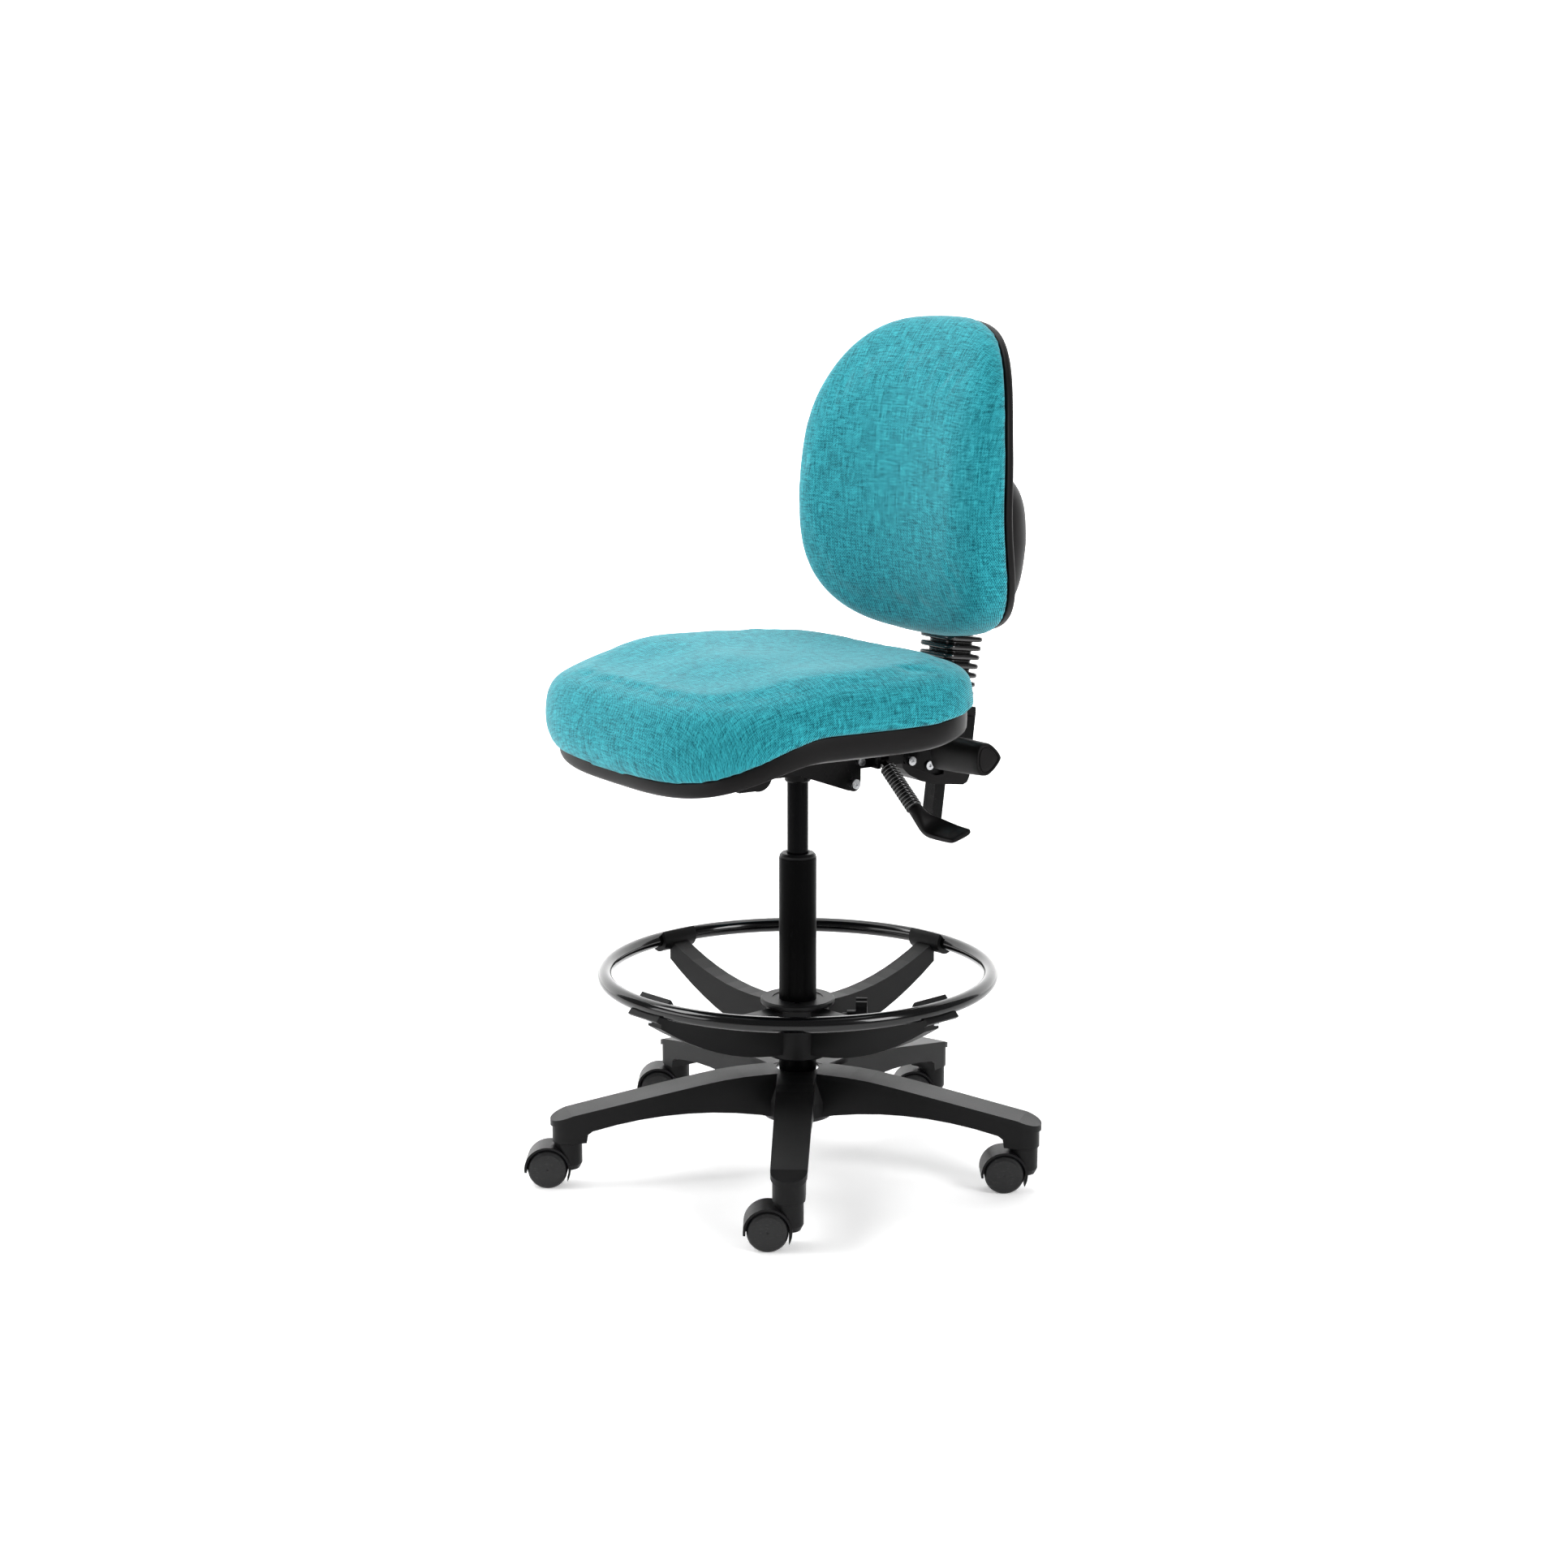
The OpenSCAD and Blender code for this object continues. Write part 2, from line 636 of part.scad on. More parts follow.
// An open tray under the bracket, with a slot for the bar
module bracket_cover() color([0.15, 0.15, 0.16]) difference() {
  half = guide_w / 2 + 12;
  translate([-half, 0, 0]) rotate([90, 0, 90]) linear_extrude(2 * half)
    polygon([[144, 541], [146, 533], [156, 523.5], [176, 513], [196, 507], [246, 501], [253, 504], [257, 512],
             [258, 546], [218, 546], [213, 519], [201, 518]]);
  translate([-half + 3, 0, 0]) rotate([90, 0, 90]) linear_extrude(2 * half - 6)
    polygon([[147, 560], [149, 534.5], [158, 526], [177, 516], [197, 510], [246, 504], [251, 506.5], [254, 513],
             [255, 560]]);
  along_bar() translate([-bar_w / 2 - 1, -bar_d / 2 - 1, -40]) cube([bar_w + 2, bar_d + 2, 100]);
  translate([0, lock_y, lock_z]) rotate([0, 90, 0]) cylinder(r = 22, h = 100);
}

module bracket_bolts() color([0.75, 0.76, 0.78]) {
  for (side = [0, 1], place = [[164, 541], [193, 532]]) mirror([side, 0, 0])
    translate([guide_w / 2 + 5.6, place.x, place.y]) rotate([0, 90, 0]) difference() {
      cylinder(r = 6, h = 3.2);
      translate([0, 0, 1.2]) cylinder(r = 2.5, h = 4, $fn = 6);
    }
}

module lock_shaft() color([0.7, 0.7, 0.72]) {
  translate([-guide_w / 2 - 10, lock_y, lock_z]) rotate([0, 90, 0]) cylinder(r = tilt_r, h = guide_w / 2 + 10 + lock_in + 30);
}

// The handle's section is round in front and runs to a blunt point at the rear
module lock_handle() color([0.13, 0.13, 0.14]) difference() {
  hull() {
    translate([lock_in, lock_y, lock_z]) rotate([0, 90, 0]) cylinder(r = lock_r + 1.5, h = 2, $fn = 32);
    translate([lock_out - 6, lock_y, lock_z]) rotate([0, 90, 0]) cylinder(r = lock_r, h = 2, $fn = 32);
    translate([lock_out - 2, lock_y, lock_z]) rotate([0, 90, 0]) cylinder(r = lock_r - 2.5, h = 2, $fn = 32);
    translate([lock_in + 20, lock_y + 20, lock_z - 3]) rotate([0, 90, 0]) cylinder(r = 5, h = lock_out - lock_in - 25, $fn = 24);
  }
  translate([lock_in - 1, lock_y, lock_z]) rotate([0, 90, 0]) cylinder(r = tilt_r, h = 31);
}

// --- Back ----------------------------------------------------------------------------------

// The shell's front face leans back a little, more so at the top, and sweeps back at the bottom
function back_face(x, z) =
  let (up = max(0, z - 960) / 150, down = max(0, 900 - z) / 170)
  back_line + 0.038 * (z - back_z) + 25 * up * up + 35.5 * down * down - back_curve * x * x;

function back_point(a, scale) =
  let (n = sin(a) > 0 ? back_n_up : back_n_down, half = sin(a) > 0 ? back_up : back_down)
  [-scale * back_hw * power(cos(a), 2 / n), back_z + scale * half * power(sin(a), 2 / n)];

function back_ring(scale, off) =
  [for (i = [0 : outline_steps - 1])
    let (p = back_point(i * 360 / outline_steps, scale))
    [p.x, back_face(p.x, p.y) + off, p.y]];
function back_rings(off) = [for (s = back_inner) back_ring(s, off)];
function back_rings_out(off) = [for (i = [len(back_inner) - 1 : -1 : 0]) back_ring(back_inner[i], off)];

module back_bar() color([0.08, 0.08, 0.09]) along_bar() {
  translate([-bar_w / 2, -bar_d / 2, bar_low - bar_z]) cube([bar_w, bar_d, bar_high - bar_low]);
}

// The channel that the bar runs up through the back's lower edge
module bar_channel() along_bar() {
  translate([-bar_w / 2 - 2, -bar_d / 2 - 2, 150]) cube([bar_w + 4, 90, 230]);
}

module back_bracket() color([0.3, 0.3, 0.32]) difference() {
  union() {
    translate([-34, 0, 0]) rotate([90, 0, 90]) linear_extrude(68)
      polygon([[218.8, 812], [213.4, 868], [216.4, 868], [221.8, 812]]);
    for (x = [-bar_w / 2 - 4, bar_w / 2])
      translate([x, 0, 0]) rotate([90, 0, 90]) linear_extrude(4)
        polygon([[219.5, 812], [214, 868], [274, 868], [268, 812]]);
  }
  along_bar() translate([-bar_w / 2, -bar_d / 2, 300]) cube([bar_w, 40, 100]);
  for (x = [-25, 25], z = [824, 856]) translate([x, 200, z]) rotate([-90, 0, 0]) cylinder(r = 3, h = 100);
}

module back_shell() color([0.15, 0.15, 0.16]) difference() {
  loft([0, back_face(0, back_z) + 6, back_z],
    concat(
      back_rings(6),
      [back_ring(0.93, 5), back_ring(0.975, 3), back_ring(0.98, 0), back_ring(1, 0), back_ring(1, 7),
       back_ring(0.985, 10), back_ring(0.95, 12)],
      back_rings_out(12)),
    [0, back_face(0, back_z) + 12, back_z]);
  bar_channel();
}

module back_board() color([0.72, 0.58, 0.38])
  loft([0, back_face(0, back_z) - 5, back_z], concat(back_rings(-5), back_rings_out(5.5)),
    [0, back_face(0, back_z) + 5.5, back_z]);

// The pad thins towards the top and thickens towards the bottom
function pad_depth(z) =
  let (up = max(0, z - back_z) / back_up, down = max(0, back_z - z) / back_down)
  back_pad * (1 - 0.3 * up * up + 0.15 * down * down);
function pad_ring(scale, share) =
  [for (i = [0 : outline_steps - 1])
    let (p = back_point(i * 360 / outline_steps, scale))
    [p.x, back_face(p.x, p.y) - pad_depth(p.y) * share, p.y]];

module back_cushion() color([0.16, 0.62, 0.66])
  loft([0, back_face(0, back_z) - back_pad + 6, back_z],
    concat(
      [pad_ring(0.3, 0.92), pad_ring(0.6, 0.97), pad_ring(0.84, 1), pad_ring(0.93, 0.9), pad_ring(0.985, 0.68),
       pad_ring(1.015, 0.4), back_ring(1.015, -8), back_ring(0.985, -0.8), back_ring(0.9, -0.5), back_ring(0.89, -5.5)],
      back_rings_out(-5.5)),
    [0, back_face(0, back_z) - 5.5, back_z]);

// The hump behind the shell that covers the bar's top
hump_z = 829;
function hump_point(a, w, h) = [w * power(cos(a), 2 / 3), hump_z + h * power(sin(a), 2 / 3.3)];
function hump_ring(w, h, y) =
  [for (i = [0 : 31]) let (p = hump_point(i * 360 / 32, w, h)) [p.x, y - 0.17 * max(0, hump_z - p.y), p.y]];
function hump_rim(w, h) =
  [for (i = [0 : 31]) let (p = hump_point(i * 360 / 32, w, h)) [p.x, back_face(p.x, p.y) + 13.4, p.y]];

module bar_cover() color([0.16, 0.16, 0.17]) difference() {
  loft([0, 329, hump_z],
    [hump_ring(50, 50, 328), hump_ring(76, 76, 324), hump_ring(92, 93, 312), hump_ring(102, 104, 288),
     hump_rim(107, 109), hump_rim(103.5, 105.5),
     hump_ring(98.5, 100.5, 287), hump_ring(89, 90, 309.5), hump_ring(74, 74, 320.8), hump_ring(48, 48, 324.8)],
    [0, 325.6, hump_z]);
  along_bar() translate([-bar_w / 2 - 2, -bar_d / 2 - 2, 150]) cube([bar_w + 4, bar_d + 4, 150]);
}

module bellows() color([0.05, 0.05, 0.055]) along_bar() difference() {
  low = bellows_low - bar_z;
  high = bellows_high - bar_z;
  union() {
    translate([-27, -22, low]) cube([54, 44, high - low]);
    for (z = [high - 9 : -bellows_pitch : low + 3])
      translate([-36, -30, z]) cube([72, 60, 5]);
  }
  translate([-bar_w / 2 - 1, -bar_d / 2 - 1, low - 1]) cube([bar_w + 2, bar_d + 2, 200]);
}

// --- Nodes ---------------------------------------------------------------------------------

for (k = CASTORS) {
  at_castor(k) castor_stem();
  at_castor(k) castor_hood();
  at_castor(k) castor_wheels();
  at_castor(k) castor_axle();
}
star_base();
hub_sleeve();
column_tube();
column_bush();
piston_rod();
thrust_bearing();
ring_tube();
ring_spider();
ring_bush();
ring_screws();
ring_knob();
ring_clamp_screw();
gas_cylinder();
release_pin();
mech_housing();
cone_socket();
mech_front_cover();
lug_bolts();
seat_shell();
seat_board();
seat_cushion();
seat_bolts();
tilt_pin();
lever_boss();
lever_rod();
lever_boot();
lever_paddle();
tilt_bracket();
bar_guide();
bracket_cover();
bracket_bolts();
lock_shaft();
lock_handle();
back_bar();
back_bracket();
back_shell();
bar_cover();
back_board();
back_cushion();
bellows();
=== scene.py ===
"""Looks of the drafting chair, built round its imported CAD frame.

Metres, in the CAD's own frame: the origin is on the floor under the column, +Z is up and the
sitter faces -Y.
"""

import json
import math

import bpy
from mathutils import Matrix, Vector


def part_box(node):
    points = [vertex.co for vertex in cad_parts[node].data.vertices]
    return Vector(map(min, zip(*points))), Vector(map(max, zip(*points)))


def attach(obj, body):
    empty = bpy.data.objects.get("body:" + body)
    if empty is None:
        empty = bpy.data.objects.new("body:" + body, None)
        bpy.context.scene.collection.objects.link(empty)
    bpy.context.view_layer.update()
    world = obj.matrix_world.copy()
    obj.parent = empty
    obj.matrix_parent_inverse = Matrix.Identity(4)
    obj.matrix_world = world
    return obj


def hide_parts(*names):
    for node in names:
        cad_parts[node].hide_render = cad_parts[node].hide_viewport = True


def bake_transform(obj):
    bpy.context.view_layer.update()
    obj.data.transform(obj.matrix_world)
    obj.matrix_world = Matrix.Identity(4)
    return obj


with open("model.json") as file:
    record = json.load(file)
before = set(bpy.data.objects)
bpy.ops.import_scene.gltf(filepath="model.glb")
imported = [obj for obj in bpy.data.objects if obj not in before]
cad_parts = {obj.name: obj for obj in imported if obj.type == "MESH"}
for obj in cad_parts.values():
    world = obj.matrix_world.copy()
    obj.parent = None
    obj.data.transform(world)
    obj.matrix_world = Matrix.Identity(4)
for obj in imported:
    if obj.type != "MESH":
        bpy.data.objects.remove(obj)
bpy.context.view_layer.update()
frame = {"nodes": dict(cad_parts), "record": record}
NODES = frame["nodes"]

MM = 0.001
UP = Vector((0, 0, 1))
# How far the pads start short of their fitted depth, for the cloth to swell back into.
SLACK = 3 * MM


# --- Small helpers --------------------------------------------------------------------------------


def ease(t):
    """0 below 0, 1 above 1, and a smooth step between."""
    t = min(max(t, 0.0), 1.0)
    return t * t * (3 - 2 * t)


def mix(a, b, t):
    """The value a share t of the way from a to b."""
    return a + (b - a) * t


def power(value, exponent):
    """A power that keeps the value's sign."""
    return math.copysign(abs(value) ** exponent, value)


def roll_point(turn, n):
    """A point (out, lift) of a full roll, from its widest line at turn 0 to its top at a quarter turn."""
    if turn < 0:
        return math.cos(turn), math.sin(turn)
    return power(math.cos(turn), 2 / n), power(math.sin(turn), 2 / n)


def ring(count):
    """Angles of count points round a full turn."""
    return [2 * math.pi * i / count for i in range(count)]


def mesh_object(name, points, faces):
    """A smooth-shaded mesh, linked to the scene."""
    mesh = bpy.data.meshes.new(name)
    mesh.from_pydata([tuple(p) for p in points], [], faces)
    mesh.update()
    for polygon in mesh.polygons:
        polygon.use_smooth = True
    piece = bpy.data.objects.new(name, mesh)
    bpy.context.scene.collection.objects.link(piece)
    return piece


def loft(name, rings, closed=True):
    """A skin through rings of points with one count. When closed, each end is filled to its middle."""
    count = len(rings[0])
    points = [p for one in rings for p in one]
    faces = []
    for j in range(len(rings) - 1):
        for i in range(count):
            a = j * count + i
            b = j * count + (i + 1) % count
            faces.append((a, b, b + count, a + count))
    if closed:
        for first, turn in ((0, 1), ((len(rings) - 1) * count, -1)):
            end = [points[first + i] for i in range(count)]
            middle = sum((Vector(p) for p in end), Vector()) / count
            points.append(middle)
            for i in range(count):
                pair = (first + i, first + (i + 1) % count)
                faces.append((len(points) - 1, *pair[:: -turn]))
    return mesh_object(name, points, faces)


def soften(piece, width, segments=2, angle=30):
    """Rounds an object's sharp edges so that they catch the light."""
    bevel = piece.modifiers.new("edges", "BEVEL")
    bevel.width = width
    bevel.segments = segments
    bevel.limit_method = "ANGLE"
    bevel.angle_limit = math.radians(angle)
    bevel.harden_normals = True


def smooth_by_angle(piece, degrees):
    """Shades a mesh smooth except across edges sharper than the angle."""
    mesh = piece.data
    mesh.shade_smooth()
    mesh.set_sharp_from_angle(angle=math.radians(degrees))


# --- Materials ------------------------------------------------------------------------------------


class Look:
    """A material being made, with short ways to add nodes and join them."""

    def __init__(self, name, colour, roughness, metallic=0.0):
        self.material = bpy.data.materials.new(name)
        self.material.use_nodes = True
        self.tree = self.material.node_tree
        self.shader = self.tree.nodes["Principled BSDF"]
        self.place = self.add("TexCoord").outputs["Object"]
        self.set("Base Color", (*colour, 1))
        self.set("Roughness", roughness)
        self.set("Metallic", metallic)

    def set(self, socket, value):
        self.shader.inputs[socket].default_value = value

    def add(self, kind, inputs=(), **settings):
        node = self.tree.nodes.new("ShaderNode" + kind)
        for key, value in settings.items():
            setattr(node, key, value)
        for key, value in dict(inputs).items():
            if isinstance(value, bpy.types.NodeSocket):
                self.tree.links.new(value, node.inputs[key])
            else:
                node.inputs[key].default_value = value
        return node

    def stretched(self, scale, turn=(0, 0, 0)):
        """Object coordinates, scaled and turned."""
        node = self.add("Mapping", {"Vector": self.place, "Rotation": turn, "Scale": scale})
        return node.outputs["Vector"]

    def noise(self, scale, detail=2.0, roughness=0.5, vector=None):
        inputs = {"Vector": vector or self.place, "Scale": scale, "Detail": detail, "Roughness": roughness}
        return self.add("TexNoise", inputs).outputs["Fac"]

    def maths(self, operation, a, b=0.0):
        node = self.add("Math", {0: a, 1: b}, operation=operation)
        return node.outputs["Value"]

    def levels(self, value, low, high, to_low=0.0, to_high=1.0):
        inputs = {"Value": value, "From Min": low, "From Max": high, "To Min": to_low, "To Max": to_high}
        return self.add("MapRange", inputs).outputs["Result"]

    def tint(self, amount, dark, light):
        """A colour between dark and light by amount."""
        node = self.add("Mix", {"Factor": amount}, data_type="RGBA")
        node.inputs["A"].default_value = (*dark, 1)
        node.inputs["B"].default_value = (*light, 1)
        return node.outputs["Result"]

    def feed(self, socket, value):
        self.tree.links.new(value, self.shader.inputs[socket])

    def bump(self, height, strength, distance, under=None):
        inputs = {"Height": height, "Strength": strength, "Distance": distance}
        if under is not None:
            inputs["Normal"] = under
        return self.add("Bump", inputs).outputs["Normal"]


def shade(colour, factor):
    """A colour made lighter or darker."""
    return tuple(min(1.0, c * factor) for c in colour)


# The name of the vertex attribute that holds a pad's place on the flat cloth.
CLOTH = "cloth"


def woven_fabric():
    """Heathered teal twill, laid by the cloth's own coordinates, in metres, from each vertex."""
    look = Look("teal_fabric", (0.022, 0.25, 0.31), 0.85)
    cloth = look.add("Attribute", attribute_name=CLOTH).outputs["Vector"]

    def threads(across, along, detail=2.0):
        stretched = look.add("Mapping", {"Vector": cloth, "Scale": (1 / across, 1 / along, 1)})
        return look.noise(1.0, detail, 0.6, stretched.outputs["Vector"])

    twill_pitch = 2.3 * MM
    waves = 2 * math.pi / twill_pitch
    slant = (waves * 0.75, waves * 0.66, 0)
    phase = look.add("VectorMath", {0: cloth, 1: slant}, operation="DOT_PRODUCT")
    wobble = look.maths("MULTIPLY", threads(2.5 * MM, 2.5 * MM, 1), 1.6)
    twill = look.levels(look.maths("SINE", look.maths("ADD", phase.outputs["Value"], wobble)), -1, 1)
    warp = threads(1.9 * MM, 22 * MM)
    weft = threads(16 * MM, 1.9 * MM)
    flecks = threads(1.7 * MM, 2.6 * MM)
    slubs = look.maths("ADD", threads(3.3 * MM, 38 * MM), threads(30 * MM, 3.3 * MM))
    cloud = threads(26 * MM, 60 * MM, 3)
    yarns = look.maths("ADD", warp, weft)

    weave = look.maths("MULTIPLY", yarns, 0.5)
    layers = ((twill, 0.5, 0.3), (flecks, 0.5, 0.5), (cloud, 0.5, 0.08), (slubs, 1, 0.36))
    for layer, middle, share in layers:
        offset = look.maths("SUBTRACT", layer, middle)
        weave = look.maths("ADD", weave, look.maths("MULTIPLY", offset, share))
    amount = look.levels(weave, 0.39, 0.61)
    look.feed("Base Color", look.tint(amount, (0.0, 0.085, 0.112), (0.034, 0.405, 0.475)))
    height = look.maths("ADD", look.maths("MULTIPLY", twill, 0.5), yarns)
    look.feed("Normal", look.bump(height, 0.45, 0.3 * MM))
    look.set("Sheen Weight", 0.25)
    look.set("Sheen Roughness", 0.4)
    look.set("Sheen Tint", (0.8, 0.97, 1.0, 1))
    look.set("Specular IOR Level", 0.15)
    return look.material


def moulded_plastic(name, colour, roughness, gloss=0.2, grain=900.0, depth=0.05):
    """A moulding with a fine pebbled grain and faint uneven sheen."""
    look = Look(name, colour, roughness)
    cloud = look.noise(9, 3)
    pebble = look.noise(grain, 2, 0.6)
    look.feed("Base Color", look.tint(cloud, shade(colour, 0.85), shade(colour, 1.2)))
    broad = look.levels(cloud, 0.3, 0.7, -0.04, 0.05)
    fine = look.levels(pebble, 0.3, 0.7, -0.03, 0.03)
    look.feed("Roughness", look.maths("ADD", look.maths("ADD", broad, fine), roughness))
    look.feed("Normal", look.bump(pebble, 0.35, depth * MM))
    look.set("Specular IOR Level", gloss)
    return look.material


def coated_steel(name, colour, roughness, gloss=0.15, coat=0.0, ripple=0.02):
    """Painted or powder-coated metal with a slight orange peel."""
    look = Look(name, colour, roughness)
    peel = look.noise(260, 2)
    patch = look.noise(14, 3)
    look.feed("Base Color", look.tint(patch, shade(colour, 0.8), shade(colour, 1.25)))
    look.feed("Roughness", look.levels(patch, 0.3, 0.7, roughness - 0.03, roughness + 0.05))
    look.feed("Normal", look.bump(peel, 0.2, ripple * MM))
    look.set("Specular IOR Level", gloss)
    look.set("Coat Weight", coat)
    look.set("Coat Roughness", 0.06)
    return look.material


def zinc_steel():
    """Bright zinc plate with fine turning marks."""
    look = Look("zinc_steel", (0.62, 0.63, 0.65), 0.24, 1.0)
    marks = look.noise(500, 2, 0.6, look.stretched((0.3, 2.5, 2.5)))
    patch = look.noise(70, 3)
    look.feed("Base Color", look.tint(patch, (0.5, 0.51, 0.53), (0.72, 0.73, 0.74)))
    look.feed("Roughness", look.levels(patch, 0.3, 0.7, 0.18, 0.34))
    look.feed("Normal", look.bump(marks, 0.25, 0.03 * MM))
    return look.material


def glossy_rubber():
    """Soft black moulding with a wet shine and fine dust in its folds."""
    look = Look("glossy_rubber", (0.003, 0.003, 0.0032), 0.2)
    grain = look.noise(350, 2)
    dust = look.noise(40, 3)
    dusty = look.levels(dust, 0.45, 0.75)
    look.feed("Base Color", look.tint(dusty, (0.0025, 0.0025, 0.0027), (0.009, 0.009, 0.0095)))
    look.feed("Roughness", look.levels(dust, 0.3, 0.7, 0.12, 0.26))
    look.feed("Normal", look.bump(grain, 0.2, 0.03 * MM))
    look.set("Specular IOR Level", 0.8)
    return look.material


def wheel_nylon():
    """Satin nylon, scuffed grey where it rolls."""
    look = Look("wheel_nylon", (0.011, 0.011, 0.0115), 0.36)
    look.set("Specular IOR Level", 0.3)
    scuffs = look.noise(160, 4, 0.7, look.stretched((1, 1, 4)))
    grain = look.noise(700, 2)
    worn = look.levels(scuffs, 0.56, 0.72, 0, 0.35)
    look.feed("Base Color", look.tint(worn, (0.01, 0.01, 0.0105), (0.07, 0.07, 0.068)))
    look.feed("Roughness", look.levels(scuffs, 0.4, 0.75, 0.3, 0.55))
    look.feed("Normal", look.bump(grain, 0.25, 0.03 * MM))
    return look.material


def plywood():
    """Bare birch ply: long pale grain with darker latewood lines."""
    look = Look("plywood", (0.55, 0.38, 0.2), 0.6)
    inputs = {"Vector": look.stretched((6, 0.7, 6)), "Scale": 6, "Distortion": 7, "Detail": 3}
    rings = look.add("TexWave", inputs)
    fibre = look.noise(240, 3, 0.6, look.stretched((4, 0.3, 4)))
    amount = look.maths("MULTIPLY", rings.outputs["Fac"], fibre)
    look.feed("Base Color", look.tint(amount, (0.62, 0.44, 0.25), (0.36, 0.22, 0.1)))
    look.feed("Normal", look.bump(fibre, 0.4, 0.1 * MM))
    return look.material


MATERIALS = {
    "teal_fabric": woven_fabric(),
    "base_plastic": moulded_plastic("base_plastic", (0.0045, 0.0045, 0.0048), 0.4, gloss=0.15),
    "shell_plastic": moulded_plastic(
        "shell_plastic", (0.0055, 0.005, 0.0052), 0.46, gloss=0.13, grain=1100, depth=0.07
    ),
    "wheel_plastic": wheel_nylon(),
    "steel": zinc_steel(),
    "tube_black": coated_steel("tube_black", (0.0012, 0.0012, 0.0014), 0.3, gloss=0.03),
    "ring_gloss": coated_steel(
        "ring_gloss", (0.0016, 0.0017, 0.002), 0.12, gloss=0.35, coat=0.15, ripple=0.012
    ),
    "cylinder_gloss": coated_steel(
        "cylinder_gloss", (0.0016, 0.0017, 0.0022), 0.16, gloss=0.03, coat=0.02, ripple=0.01
    ),
    "frame_black": coated_steel("frame_black", (0.0016, 0.0016, 0.0018), 0.26, gloss=0.12),
    "soft_black": glossy_rubber(),
    "plywood": plywood(),
}
SLOT_OF = {row["node"]: row["material_slot"] for row in frame["record"]["subparts"]}


def dress(piece, slot):
    """Gives a piece its one material."""
    piece.data.materials.clear()
    piece.data.materials.append(MATERIALS[slot])


for node_name, node in NODES.items():
    dress(node, SLOT_OF[node_name])


# --- Seat -----------------------------------------------------------------------------------------

shell_low, shell_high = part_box("seat_shell")
SEAT_HALF_W = (shell_high.x - shell_low.x) / 2
SEAT_HALF_L = (shell_high.y - shell_low.y) / 2
SEAT_MID_Y = (shell_high.y + shell_low.y) / 2
# How square the seat's plan is: 2 is an ellipse.
SEAT_N = 3.5
SEAM_Z = 633 * MM
SEAT_DROP = 69.5 * MM
SEAT_FLOOR = 594 * MM
SEAT_TOP = 702 * MM


def seat_outline(angle, grow=0.0, scale=1.0):
    """A point of the seat's plan, a superellipse."""
    x = scale * (SEAT_HALF_W + grow) * power(math.cos(angle), 2 / SEAT_N)
    y = SEAT_MID_Y + scale * (SEAT_HALF_L + grow) * power(math.sin(angle), 2 / SEAT_N)
    return x, y


# Where each surface starts to fall away to the front, and over what run.
SEAM_FALL = (-0.116, 0.207)
FLOOR_FALL = (-0.12, 0.162)
TOP_FALL = (-0.078, 0.161)


def front_fall(y, start, run):
    """0 behind start, and 1 beyond the run in front of it."""
    return ease((start - y) / run)


def seam_z(y, x=1.0):
    """Height of the seam, which dips a little in the middle of the front and rises at the rear."""
    middle = 3.2 * MM * (1 - min(1.0, (x / SEAT_HALF_W) ** 2))
    fall = (SEAT_DROP + middle) * front_fall(y, *SEAM_FALL)
    return SEAM_Z - fall + 9 * MM * ease((y - 0.02) / 0.12)


def band_height(y):
    """Height of the shell's outer band, which is lower at the front."""
    return (30.4 - 12.4 * front_fall(y, *SEAM_FALL)) * MM


def seat_floor(y):
    """Height of the shell's underside."""
    return SEAT_FLOOR - 32 * MM * front_fall(y, *FLOOR_FALL)


def seat_ring(scale, height, grow=0.0, count=160):
    """A ring of the seat's outline. The height is a function of x and y."""
    points = []
    for angle in ring(count):
        x, y = seat_outline(angle, grow, scale)
        points.append((x, y, height(x, y)))
    return points


def seat_shell():
    """The moulded tray under the cushion: a band round the sides that turns under to a flat floor."""
    wall = 4 * MM

    def low(x, y):
        return seam_z(y, x) - band_height(y)

    def seam(lift):
        return lambda x, y: seam_z(y, x) + lift

    def bottom(lift):
        return lambda x, y: seat_floor(y) + lift

    def belly(share, lift=0.0):
        return lambda x, y: mix(seat_floor(y), low(x, y), share) + lift

    rings = [
        seat_ring(0.02, bottom(0)),
        seat_ring(0.5, bottom(0)),
        seat_ring(0.8, belly(0.06)),
        seat_ring(0.88, belly(0.2)),
        seat_ring(0.935, belly(0.5)),
        seat_ring(0.965, belly(0.82)),
        seat_ring(0.982, belly(1.02)),
        seat_ring(0.992, lambda x, y: low(x, y) + 2.5 * MM),
        seat_ring(0.998, lambda x, y: low(x, y) + 6 * MM),
        seat_ring(1.0, lambda x, y: mix(low(x, y), seam_z(y, x), 0.5)),
        seat_ring(1.0, seam(-2 * MM)),
        seat_ring(0.9985, seam(-0.6 * MM)),
        seat_ring(0.995, seam(0)),
        seat_ring(0.983, seam(0)),
        seat_ring(0.98, seam(-3 * MM)),
        seat_ring(0.968, belly(1.0, wall)),
        seat_ring(0.9, belly(0.35, wall)),
        seat_ring(0.5, bottom(wall)),
        seat_ring(0.02, bottom(wall)),
    ]
    skin = loft("seat_shell_skin", rings)
    dress(skin, "shell_plastic")
    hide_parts("seat_shell")
    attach(skin, "seat")


